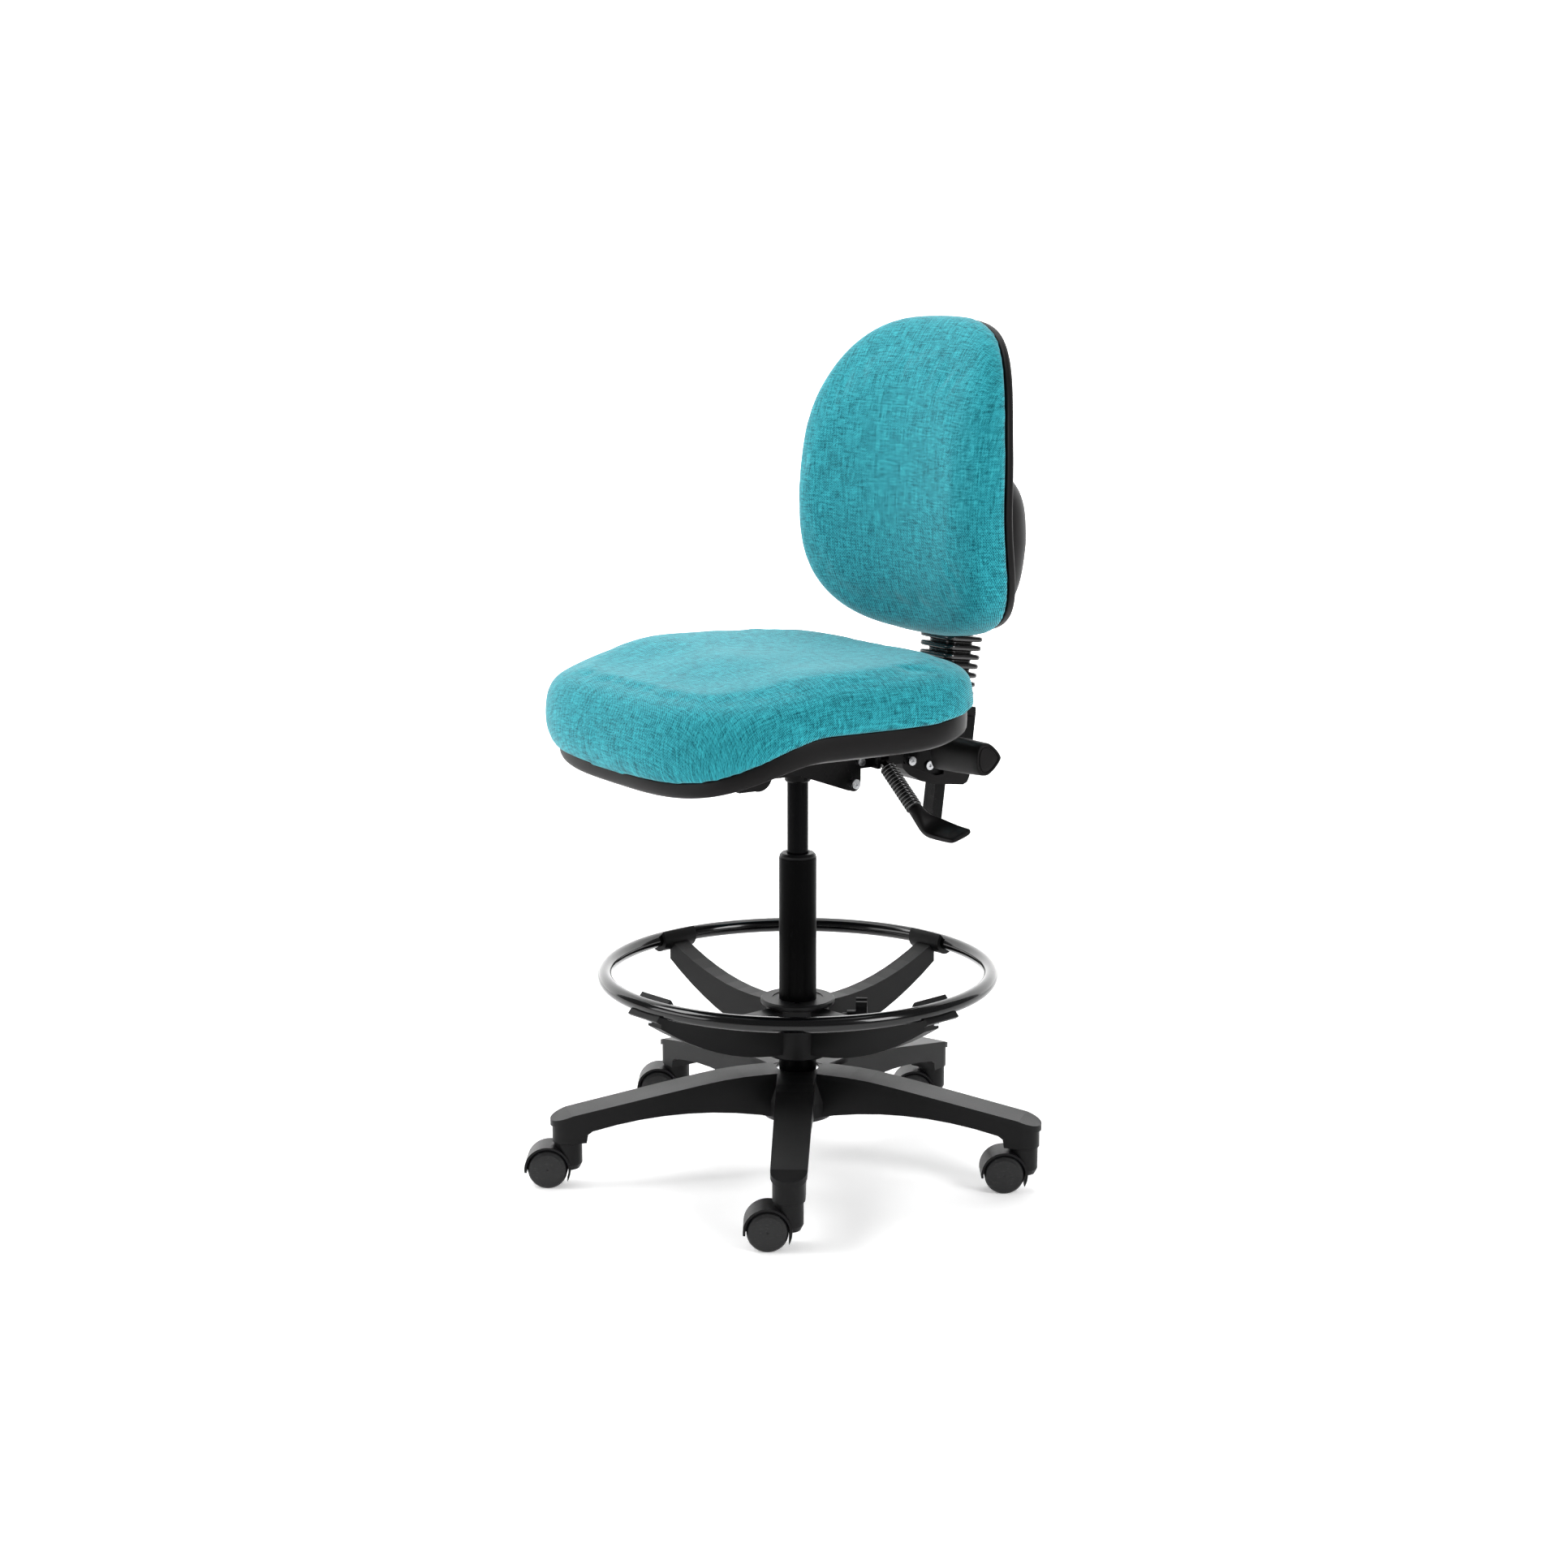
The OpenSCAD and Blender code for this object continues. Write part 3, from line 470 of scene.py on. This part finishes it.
def seat_cushion_rings(count=160):
    """The cushion from its hidden underside, out past the seam, over the roll and in to the dish."""
    bulge = 9.4 * MM + 0.6 * SLACK
    fullness = 3.7
    forward_shift = 6.5 * MM

    def underside(x, y):
        return seat_floor(y) + 17 * MM

    def at_edge(angle):
        """The widest line's place and how much of the front's shape this side has."""
        edge_x, edge_y = seat_outline(angle, bulge)
        return edge_x, edge_y - SEAT_MID_Y, ease((-math.sin(angle) - 0.15) / 0.8)

    def inner(forward):
        return mix(0.63, 0.56, forward)

    rings = [seat_ring(s, underside, 0, count) for s in (0.02, 0.5, 0.84)]
    rings.append(seat_ring(0.955, lambda x, y: mix(underside(x, y), seam_z(y, x), 0.85), 0, count))
    rings.append(seat_ring(0.978, lambda x, y: seam_z(y, x) - 1.5 * MM, 0, count))
    rings.append(seat_ring(0.99, lambda x, y: seam_z(y, x) + 1.2 * MM, 0, count))
    steps = 22
    for k in range(-4, steps + 1):
        outward, lift = roll_point(math.radians(90) * k / steps, fullness)
        points = []
        for angle in ring(count):
            edge_x, edge_y, forward = at_edge(angle)
            out = mix(inner(forward), 1, outward)
            x = edge_x * out
            y = SEAT_MID_Y + edge_y * out - forward_shift * min(1.0, 1 + 3.3 * lift)
            rise = seam_z(y, x)
            widest = rise + mix(10, 30, forward) * MM
            crest = seat_crest(x, y) - SLACK
            z = widest + (crest - widest) * lift if k >= 0 else widest + (widest - rise) * 3.3 * lift
            points.append((x, y, z))
        rings.append(points)
    # Across the top, from the roll in to the middle.
    for share in (0.9, 0.8, 0.68, 0.55, 0.42, 0.3, 0.18, 0.08, 0.02):
        points = []
        for angle in ring(count):
            edge_x, edge_y, forward = at_edge(angle)
            flat = inner(forward) * share
            x, y = edge_x * flat, SEAT_MID_Y + edge_y * flat - forward_shift
            points.append((x, y, seat_crest(x, y) - SLACK))
        rings.append(points)
    return rings


def seat_crest(x, y):
    """Height of the seat's top: a dish, two thigh hollows, a rear rise and a front that falls away."""
    fall = 22.4 * MM * front_fall(y, *TOP_FALL)
    along = (y - 0.01) / 0.16
    dish = 5.5 * MM * math.exp(-(along**2)) * (1 - ease(abs(x) / 0.23))
    thigh = 3.2 * MM * math.exp(-(((abs(x) - 0.1) / 0.06) ** 2)) * math.exp(-(((y + 0.12) / 0.1) ** 2))
    rear = 3 * MM * ease((y - 0.02) / 0.12)
    return SEAT_TOP + rear - fall - dish - thigh


# --- Cloth ----------------------------------------------------------------------------------------


def evaluated_mesh(piece):
    """A piece's mesh as its modifiers leave it."""
    graph = bpy.context.evaluated_depsgraph_get()
    return bpy.data.meshes.new_from_object(piece.evaluated_get(graph))


def inflate(pad, held):
    """Swells a pad as cloth: remeshed evenly, pinned where held() says, and moved by at most cap.

    The foam behind the cloth lets it sink only a little.
    """
    pressure, frames = 2.0, 20
    voxel, cap, deepest = 5 * MM, 5 * MM, 1 * MM
    remesh = pad.modifiers.new("even", "REMESH")
    remesh.mode = "VOXEL"
    remesh.voxel_size = voxel
    even = evaluated_mesh(pad)
    pad.modifiers.clear()
    pad.data = even
    start = [v.co.copy() for v in even.vertices]
    outward = [v.normal.copy() for v in even.vertices]
    group = pad.vertex_groups.new(name="held")
    for i, place in enumerate(start):
        group.add([i], held(place), "REPLACE")
    cloth = pad.modifiers.new("cloth", "CLOTH")
    settings = cloth.settings
    settings.quality = 6
    settings.mass = 0.3
    settings.tension_stiffness = 12
    settings.compression_stiffness = 12
    settings.shear_stiffness = 6
    settings.bending_stiffness = 0.6
    settings.use_pressure = True
    settings.uniform_pressure_force = pressure
    settings.vertex_group_mass = group.name
    settings.effector_weights.gravity = 0
    cloth.point_cache.frame_start = 1
    cloth.point_cache.frame_end = frames
    scene = bpy.context.scene
    for step in range(1, frames + 1):
        scene.frame_set(step)
    swollen = evaluated_mesh(pad)
    pad.modifiers.clear()
    for vertex, rest, normal, moved in zip(even.vertices, start, outward, swollen.vertices):
        shift = moved.co - rest
        if shift.length > cap:
            shift *= cap / shift.length
        sunk = -shift.dot(normal)
        if sunk > deepest:
            shift += normal * (sunk - deepest)
        vertex.co = rest + shift
    scene.frame_set(1)
    even.shade_smooth()


def relax(piece):
    """Evens out a mesh's small lumps."""
    smoothing = piece.modifiers.new("relax", "SMOOTH")
    smoothing.iterations = 6
    smoothing.factor = 0.5
    piece.data = evaluated_mesh(piece)
    piece.modifiers.clear()
    piece.data.shade_smooth()


def seat_cushion():
    """The upholstered seat pad."""
    pad = loft("seat_cushion_pad", seat_cushion_rings())

    def held(place):
        above = place.z - seam_z(place.y, place.x)
        return 1.0 if above < 5 * MM else 0.0

    def lie(place):
        out = Vector((place.x / SEAT_HALF_W, (place.y - SEAT_MID_Y) / SEAT_HALF_L))
        return out, Vector((place.x, place.y)), max(0.0, SEAT_TOP - place.z)

    inflate(pad, held)
    relax(pad)
    pucker(pad)
    lay_cloth(pad, lie)
    finish_pad(pad, "seat_cushion", "seat")


def pucker(pad):
    """Presses short folds into the cushion's front corners, where the cloth is gathered at the seam."""
    height, width, depth, reach = 26 * MM, 4 * MM, 3.2 * MM, 40 * MM
    folds = (Vector((0.215, -0.235)), Vector((0.229, -0.218)))
    outward = Vector((0.75, -0.66))
    along = Vector((0.66, 0.75))
    for vertex in pad.data.vertices:
        place = vertex.co
        above = (place.z - seam_z(place.y, place.x)) / height
        if not 0 < above < 1:
            continue
        for fold in folds:
            away = Vector((abs(place.x), place.y)) - fold
            if away.length < reach:
                press = depth * (1 - above) ** 2 * math.exp(-((away.dot(along) / width) ** 2))
                place.x -= math.copysign(outward.x * press, place.x)
                place.y -= outward.y * press


def lay_cloth(pad, lie):
    """Stores where each vertex lies on the flat cloth, which runs over the face and down the sides.

    lie() gives the place as shares of the half sizes, the place on the face, and the depth below it.
    """
    cloth = pad.data.attributes.new(CLOTH, "FLOAT_VECTOR", "POINT")
    for i, vertex in enumerate(pad.data.vertices):
        out, flat, depth = lie(vertex.co)
        across, along = abs(out.x) ** 6, abs(out.y) ** 6
        share = across / max(across + along, 1e-9)
        u = flat.x + math.copysign(depth * share, out.x)
        v = flat.y + math.copysign(depth * (1 - share), out.y)
        cloth.data[i].vector = (u, v, 0)


def finish_pad(pad, node_name, body):
    """Makes a pad the padded stand-in for its CAD cushion."""
    divide = pad.modifiers.new("fine", "SUBSURF")
    divide.levels = 1
    divide.render_levels = 1
    dress(pad, "teal_fabric")
    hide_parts(node_name)
    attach(pad, body)


# --- Back -----------------------------------------------------------------------------------------

back_low, back_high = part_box("back_shell")
BACK_HALF_W = (back_high.x - back_low.x) / 2
BACK_Z = 850 * MM
BACK_UP = 274 * MM
BACK_DOWN = 136 * MM
BACK_LINE = 198 * MM
BACK_CURVE = 0.48
BACK_PAD = 63 * MM
HUMP_Z = 829 * MM
HUMP_HALF = (107 * MM, 109.5 * MM)
HUMP_CROWN = 329 * MM


def back_face(x, z):
    """How far back the seam's surface lies: it leans, turns back at both ends and wraps round."""
    up = max(0.0, z - 0.960) / 0.150
    down = max(0.0, 0.900 - z) / 0.170
    lean = 0.038 * (z - BACK_Z)
    return BACK_LINE + lean + 25 * MM * up**2 + 35.5 * MM * down**2 - BACK_CURVE * x * x


def back_outline(angle, scale=1.0, grow=0.0):
    """A point of the back's outline, taller above its widest line than below."""
    rising = math.sin(angle) > 0
    n = 3.0 if rising else 2.85
    half = BACK_UP if rising else BACK_DOWN
    x = scale * (BACK_HALF_W + grow) * power(math.cos(angle), 2 / n)
    z = BACK_Z + scale * (half + grow) * power(math.sin(angle), 2 / n)
    return x, z


def back_ring(scale, depth, grow=0.0, count=160):
    """A ring of the back's outline at a depth behind the seam's surface, a number or a function."""
    points = []
    for angle in ring(count):
        x, z = back_outline(angle, scale, grow)
        away = depth(x, z) if callable(depth) else depth
        points.append((x, back_face(x, z) + away, z))
    return points


def hump(x, z):
    """How far the blister over the bar stands behind the shell's own rear surface."""
    q = (abs(x) / HUMP_HALF[0]) ** 3 + (abs(z - HUMP_Z) / HUMP_HALF[1]) ** 3.3
    if q >= 1:
        return 0.0
    crown = HUMP_CROWN - 0.17 * max(0.0, HUMP_Z - z)
    rear = back_face(x, z) + 12 * MM
    return max(0.0, crown - rear) * (1 - q) ** 0.304


def back_shell():
    """The moulded back with its blister over the bar, as one skin."""
    count = 200

    def rear(x, z):
        return 12 * MM + hump(x, z)

    rings = [back_ring(s, 6 * MM, count=count) for s in (0.02, 0.5, 0.9)]
    rings += [back_ring(0.972, 3 * MM, count=count), back_ring(0.98, 0.3 * MM, count=count)]
    rings += [back_ring(0.994, 0.0, count=count), back_ring(0.9985, 0.7 * MM, count=count)]
    rings += [back_ring(1.0, 2.5 * MM, count=count), back_ring(1.0, 6.5 * MM, count=count)]
    rings += [back_ring(0.997, 9.5 * MM, count=count), back_ring(0.99, 11.3 * MM, count=count)]
    rings += [back_ring(s, rear, count=count) for s in [0.98 - 0.015 * k for k in range(64)] + [0.01]]
    skin = loft("back_shell_skin", rings)
    dress(skin, "shell_plastic")
    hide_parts("back_shell", "bar_cover")
    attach(skin, "back")


def pad_depth(z):
    """The pad thins towards the top and thickens towards the bottom."""
    up = max(0.0, z - BACK_Z) / BACK_UP
    down = max(0.0, BACK_Z - z) / BACK_DOWN
    return BACK_PAD * (1 - 0.3 * up**2 + 0.15 * down**2)


def back_dish(x, z):
    """The pad's front: a faint upright hollow between its side rolls."""
    return 3 * MM * math.exp(-((x / 0.1) ** 2)) * math.exp(-(((z - 0.88) / 0.13) ** 2))


def back_cushion_rings(count=160):
    """The pad from its hidden rear, round the seam, over the roll and in across its front."""
    bulge = 5 * MM + 0.1 * SLACK
    fullness = 2.9
    widest = -16 * MM
    flat_x, flat_z = 0.7, 0.74
    rings = [back_ring(s, -6 * MM, 0, count) for s in (0.02, 0.5, 0.88)]
    rings.append(back_ring(0.955, -1.5 * MM, 0, count))
    rings.append(back_ring(0.978, -0.8 * MM, 0, count))
    rings.append(back_ring(0.99, -2.5 * MM, 0, count))

    def place(angle, share, outward):
        """A point at a share of the pad's size, from the front's edge (0) to the widest line (1)."""
        out_x = share * mix(flat_x, 1, outward)
        out_z = share * mix(flat_z, 1, outward)
        edge_x, edge_z = back_outline(angle, 1, bulge)
        return edge_x * out_x, BACK_Z + (edge_z - BACK_Z) * out_z

    steps = 20
    for k in range(-4, steps + 1):
        outward, lift = roll_point(math.radians(90) * k / steps, fullness)
        points = []
        for angle in ring(count):
            x, z = place(angle, 1, outward)
            depth = pad_depth(z) - SLACK
            near = widest - (depth + widest) * lift if k >= 0 else widest * (1 + 2.7 * lift)
            points.append((x, back_face(x, z) + near + back_dish(x, z) * max(0.0, lift) ** 2, z))
        rings.append(points)
    # Across the front, from the roll in to the middle.
    for share in (0.9, 0.8, 0.7, 0.58, 0.46, 0.34, 0.22, 0.1, 0.02):
        points = []
        for angle in ring(count):
            x, z = place(angle, share, 0)
            points.append((x, back_face(x, z) - pad_depth(z) + SLACK + back_dish(x, z), z))
        rings.append(points)
    return rings


def back_cushion():
    """The upholstered back pad."""
    pad = loft("back_cushion_pad", back_cushion_rings())

    def held(place):
        behind = place.y - back_face(place.x, place.z)
        return 1.0 if behind > -7 * MM else 0.0

    def lie(place):
        half = BACK_UP if place.z > BACK_Z else BACK_DOWN
        out = Vector((place.x / BACK_HALF_W, (BACK_Z - place.z) / half))
        front = back_face(place.x, place.z) - pad_depth(place.z)
        return out, Vector((place.x, -place.z)), max(0.0, place.y - front)

    inflate(pad, held)
    relax(pad)
    lay_cloth(pad, lie)
    finish_pad(pad, "back_cushion", "back")


# --- Bellows and boot -----------------------------------------------------------------------------

BAR_LEAN = math.radians(7)
BAR_FOOT = Vector((0, 0.224, 0.497))
BAR_TURN = Matrix.Translation(BAR_FOOT) @ Matrix.Rotation(-BAR_LEAN, 4, "X")


def rounded_rectangle(half_x, half_y, corner, count=48):
    """Points round a rectangle with round corners."""
    points = []
    for angle in ring(count):
        c, s = math.cos(angle), math.sin(angle)
        x = math.copysign(half_x - corner, c) + corner * c
        y = math.copysign(half_y - corner, s) + corner * s
        points.append((x, y))
    return points


def bellows():
    """A ribbed gaiter round the bar: broad round-edged ribs on a narrower core."""
    low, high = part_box("bellows")
    end_gap = 3 * MM
    base = (low.z + end_gap - BAR_FOOT.z) / math.cos(BAR_LEAN)
    top = (high.z - BAR_FOOT.z) / math.cos(BAR_LEAN) - end_gap
    ribs = 7
    pitch = 12.3 * MM
    edge = 3.8 * MM
    root = edge + 0.4 * MM

    def section(half_x, half_y, at):
        return [(x, y, at) for x, y in rounded_rectangle(half_x, half_y, 12 * MM)]

    def core(at):
        return section(27 * MM, 22 * MM, at)

    rings = [core(base)]
    for k in range(ribs):
        middle = top - (ribs - k - 0.35) * pitch
        reach = mix(34.5, 37, k / (ribs - 1)) * MM
        rings.append(core(middle - root))
        for turn in range(-90, 91, 30):
            out = reach - edge * (1 - power(math.cos(math.radians(turn)), 0.7))
            at = middle + edge * power(math.sin(math.radians(turn)), 0.7)
            rings.append(section(out, out - 6 * MM, at))
        rings.append(core(middle + root))
    rings.append(core(top))
    gaiter = loft("bellows_skin", rings)
    gaiter.data.transform(BAR_TURN)
    dress(gaiter, "soft_black")
    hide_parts("bellows")
    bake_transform(gaiter)


def rod_frame(start, end):
    """A matrix that puts +Z along the line from start to end, with its origin at start."""
    direction = (Vector(end) - Vector(start)).normalized()
    return Matrix.Translation(Vector(start)) @ direction.to_track_quat("Z", "Y").to_matrix().to_4x4()


LEVER_PIVOT = Vector((0.076, 0.084, 0.556))
LEVER_ELBOW = Vector((0.150, 0.084, 0.503))


def lever_boot():
    """The corrugated sleeve over the gas lever's rod."""
    length = (LEVER_ELBOW - LEVER_PIVOT).length
    first, last = 12 * MM, length - 3 * MM
    ribs = 14
    steps = 10
    groove, bead = 7.3, 3.8
    pitch = (last - first) / ribs
    rings = []
    for k in range(ribs * steps + 1):
        phase = (k % steps) / steps
        crest = abs(math.sin(math.pi * phase)) ** 0.8
        radius = (groove + bead * crest) * MM
        at = first + k * pitch / steps
        rings.append([(radius * math.cos(t), radius * math.sin(t), at) for t in ring(32)])
    boot = loft("lever_boot_skin", rings)
    boot.data.transform(rod_frame(LEVER_PIVOT, LEVER_ELBOW))
    dress(boot, "soft_black")
    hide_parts("lever_boot")
    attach(boot, "gas_lever")


def sections_along(path, shapes):
    """Rings of points on planes across a path. A shape is a list of (sideways, up) points."""
    rings = []
    for i, (place, roll) in enumerate(path):
        before, after = path[max(i - 1, 0)][0], path[min(i + 1, len(path) - 1)][0]
        ahead = (Vector(after) - Vector(before)).normalized()
        side = UP.cross(ahead).normalized()
        up = ahead.cross(side)
        lean = Matrix.Rotation(roll, 3, ahead)
        side, up = lean @ side, lean @ up
        rings.append([Vector(place) + side * a + up * b for a, b in shapes[i]])
    return rings


def paddle():
    """The gas lever's grip: a round neck that spreads into a thin plate with a raised far edge."""
    # Each station: x, y and z in metres, half width and half thickness in mm, bluntness from 1 for
    # round to 0 for square, and roll in degrees.
    stations = [
        (0.146, 0.084, 0.506, 9.8, 9.8, 0.99, 0),
        (0.153, 0.0845, 0.5005, 9.8, 9.4, 0.95, 4),
        (0.159, 0.0865, 0.4945, 11, 9, 0.85, 16),
        (0.165, 0.0895, 0.4885, 13, 8, 0.65, 34),
        (0.170, 0.0925, 0.4845, 14.5, 6.4, 0.42, 36),
        (0.178, 0.095, 0.482, 15.6, 5, 0.32, 28),
        (0.190, 0.0965, 0.4805, 16.6, 4.2, 0.3, 20),
        (0.204, 0.098, 0.4795, 17.2, 3.8, 0.3, 15),
        (0.217, 0.099, 0.4792, 17.4, 3.7, 0.3, 13),
        (0.225, 0.0995, 0.4795, 17.2, 3.6, 0.32, 13),
        (0.2285, 0.0998, 0.4798, 16.6, 2.8, 0.4, 13),
        (0.2295, 0.1, 0.48, 15.2, 1.2, 0.5, 13),
    ]
    path, shapes = [], []
    for x, y, z, half_w, half_t, blunt, roll in stations:
        path.append(((x, y, z), math.radians(roll)))
        flat = 1 - blunt
        outline = []
        for t in ring(40):
            a = half_w * power(math.cos(t), blunt) * MM
            b = half_t * power(math.sin(t), blunt) * MM
            curl = 3.4 * MM * flat * max(0.0, a / (half_w * MM)) ** 3
            outline.append((a, b + curl))
        shapes.append(outline)
    grip = loft("lever_paddle_skin", sections_along(path, shapes))
    dress(grip, "shell_plastic")
    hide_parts("lever_paddle")
    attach(grip, "gas_lever")
    fine = grip.modifiers.new("fine", "SUBSURF")
    fine.levels = 1
    fine.render_levels = 1


def leaf(radius, drop):
    """The handle's section, as (y, z): square in front, pointed behind, and deeper by drop below."""
    points = []
    for t in ring(64):
        c, s = math.cos(t), math.sin(t)
        if c > 0:
            y, z = 1.08 * radius * (1 - abs(s) ** 1.3) ** 0.7, radius * s
        else:
            y, z = 0.76 * radius * power(c, 0.62), radius * power(s, 0.86)
        points.append((y, z * (1 + drop) if z < 0 else z))
    return points


def lock_handle():
    """The moulded grip on the lock's shaft, with its end cap let in."""
    low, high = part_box("lock_handle")
    middle_y, middle_z = 0.1875, 0.5612
    most_drop = 0.42
    # Each step: the distance in from that end, and the radius, in mm.
    inner_end = [(0, 17.5), (0.4, 19.0), (2, 20.0), (10, 20.6), (50, 21.2)]
    outer_end = [(14, 21.6), (2.2, 21.6), (0.8, 21.2), (0.1, 20.6), (0, 19.8), (0, 18)]
    groove = [(1.3, 17.3), (1.3, 15.9), (0.2, 15.2), (0, 14.2), (0, 4)]
    profile = [(low.x + inset * MM, radius) for inset, radius in inner_end]
    profile += [(high.x - inset * MM, radius) for inset, radius in outer_end + groove]
    rings = []
    for x, radius in profile:
        drop = most_drop * (high.x - x) / (high.x - low.x)
        rings.append([(x, middle_y + a, middle_z + b) for a, b in leaf(radius * MM, drop)])
    grip = loft("lock_handle_skin", rings)
    smooth_by_angle(grip, 40)
    dress(grip, "shell_plastic")
    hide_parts("lock_handle")
    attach(grip, "tilt_lock")


# --- Stage ----------------------------------------------------------------------------------------

CAMERA_TURN = math.radians(57)
CAMERA_AWAY = 3.258
CAMERA_Z = 1.145
CAMERA_PITCH = math.radians(11)
LENS_MM = 57.8
LENS_SHIFT = (-0.00875, 0.00487)
FLOOR_HALF = 9
BACKDROP_RADIUS = 3.6
BACKDROP_HEIGHT = 4.2


def camera():
    """The camera, in front of the chair and to the sitter's left."""
    lens = bpy.data.cameras.new("camera")
    lens.sensor_width = 36
    lens.lens = LENS_MM
    lens.shift_x, lens.shift_y = LENS_SHIFT
    eye = bpy.data.objects.new("camera", lens)
    eye.location = (CAMERA_AWAY * math.sin(CAMERA_TURN), -CAMERA_AWAY * math.cos(CAMERA_TURN), CAMERA_Z)
    eye.rotation_euler = (math.radians(90) - CAMERA_PITCH, 0, CAMERA_TURN)
    bpy.context.scene.collection.objects.link(eye)
    bpy.context.scene.camera = eye


def glowing_white(name, roughness, scale, detail, strength):
    """Matt white paint with a faint cloud in it, lit a little from within."""
    look = Look(name, (0.9, 0.9, 0.9), roughness)
    look.feed("Base Color", look.tint(look.noise(scale, detail), (0.89, 0.89, 0.89), (0.91, 0.91, 0.91)))
    look.set("Emission Color", (1, 1, 1, 1))
    look.set("Emission Strength", strength)
    return look


def white_set():
    """A flat pale floor and a curved, lit white backdrop behind the chair."""
    paint = glowing_white("pale_floor", 0.8, 60, 3, 0.28)
    paint.set("Specular IOR Level", 0.1)
    size = FLOOR_HALF
    corners = [(-size, -size, 0), (size, -size, 0), (size, size, 0), (-size, size, 0)]
    ground = mesh_object("floor", corners, [(0, 1, 2, 3)])
    ground.data.materials.append(paint.material)

    panels = 24
    middle = CAMERA_TURN + math.radians(90)
    points = []
    for k in range(panels + 1):
        turn = middle + math.radians(mix(-62, 62, k / panels))
        for z in (0, BACKDROP_HEIGHT):
            points.append((BACKDROP_RADIUS * math.cos(turn), BACKDROP_RADIUS * math.sin(turn), z))
    faces = [(2 * k, 2 * k + 2, 2 * k + 3, 2 * k + 1) for k in range(panels)]
    backdrop = mesh_object("backdrop", points, faces)
    backdrop.data.materials.append(glowing_white("lit_backdrop", 0.9, 3, 2, 1.1).material)


def softbox(name, place, size, watts, target=(0, 0, 0.6)):
    """A rectangular lamp that faces its target."""
    lamp = bpy.data.lights.new(name, "AREA")
    lamp.shape = "RECTANGLE"
    lamp.size, lamp.size_y = size
    lamp.energy = watts
    light = bpy.data.objects.new(name, lamp)
    light.location = place
    light.rotation_euler = (Vector(target) - Vector(place)).to_track_quat("-Z", "Y").to_euler()
    bpy.context.scene.collection.objects.link(light)


def studio():
    """Soft light from all round, with softboxes in front, at the side and above."""
    world = bpy.data.worlds.new("studio")
    bpy.context.scene.world = world
    world.use_nodes = True
    sky = world.node_tree.nodes["Background"]
    sky.inputs["Color"].default_value = (1, 1, 1, 1)
    sky.inputs["Strength"].default_value = 0.22
    softbox("key", (-1.5, -2.1, 3.3), (1.8, 1.4), 72)
    softbox("low", (-0.5, -2.7, 0.9), (1.8, 1.0), 22, target=(0, -0.2, 0.6))
    softbox("side", (3.3, 0.9, 2.1), (1.2, 1.8), 78, target=(0, 0.1, 0.95))
    softbox("top", (-0.6, 0.2, 3.2), (2.4, 2.4), 52)
    bpy.context.scene.view_settings.view_transform = "Standard"


# --- Build ----------------------------------------------------------------------------------------

seat_shell()
seat_cushion()
back_shell()
back_cushion()
bellows()
lever_boot()
paddle()
lock_handle()
for node_name, node in NODES.items():
    smooth_by_angle(node, 30)
    if not node.hide_render:
        soften(node, 0.5 * MM)

camera()
white_set()
studio()
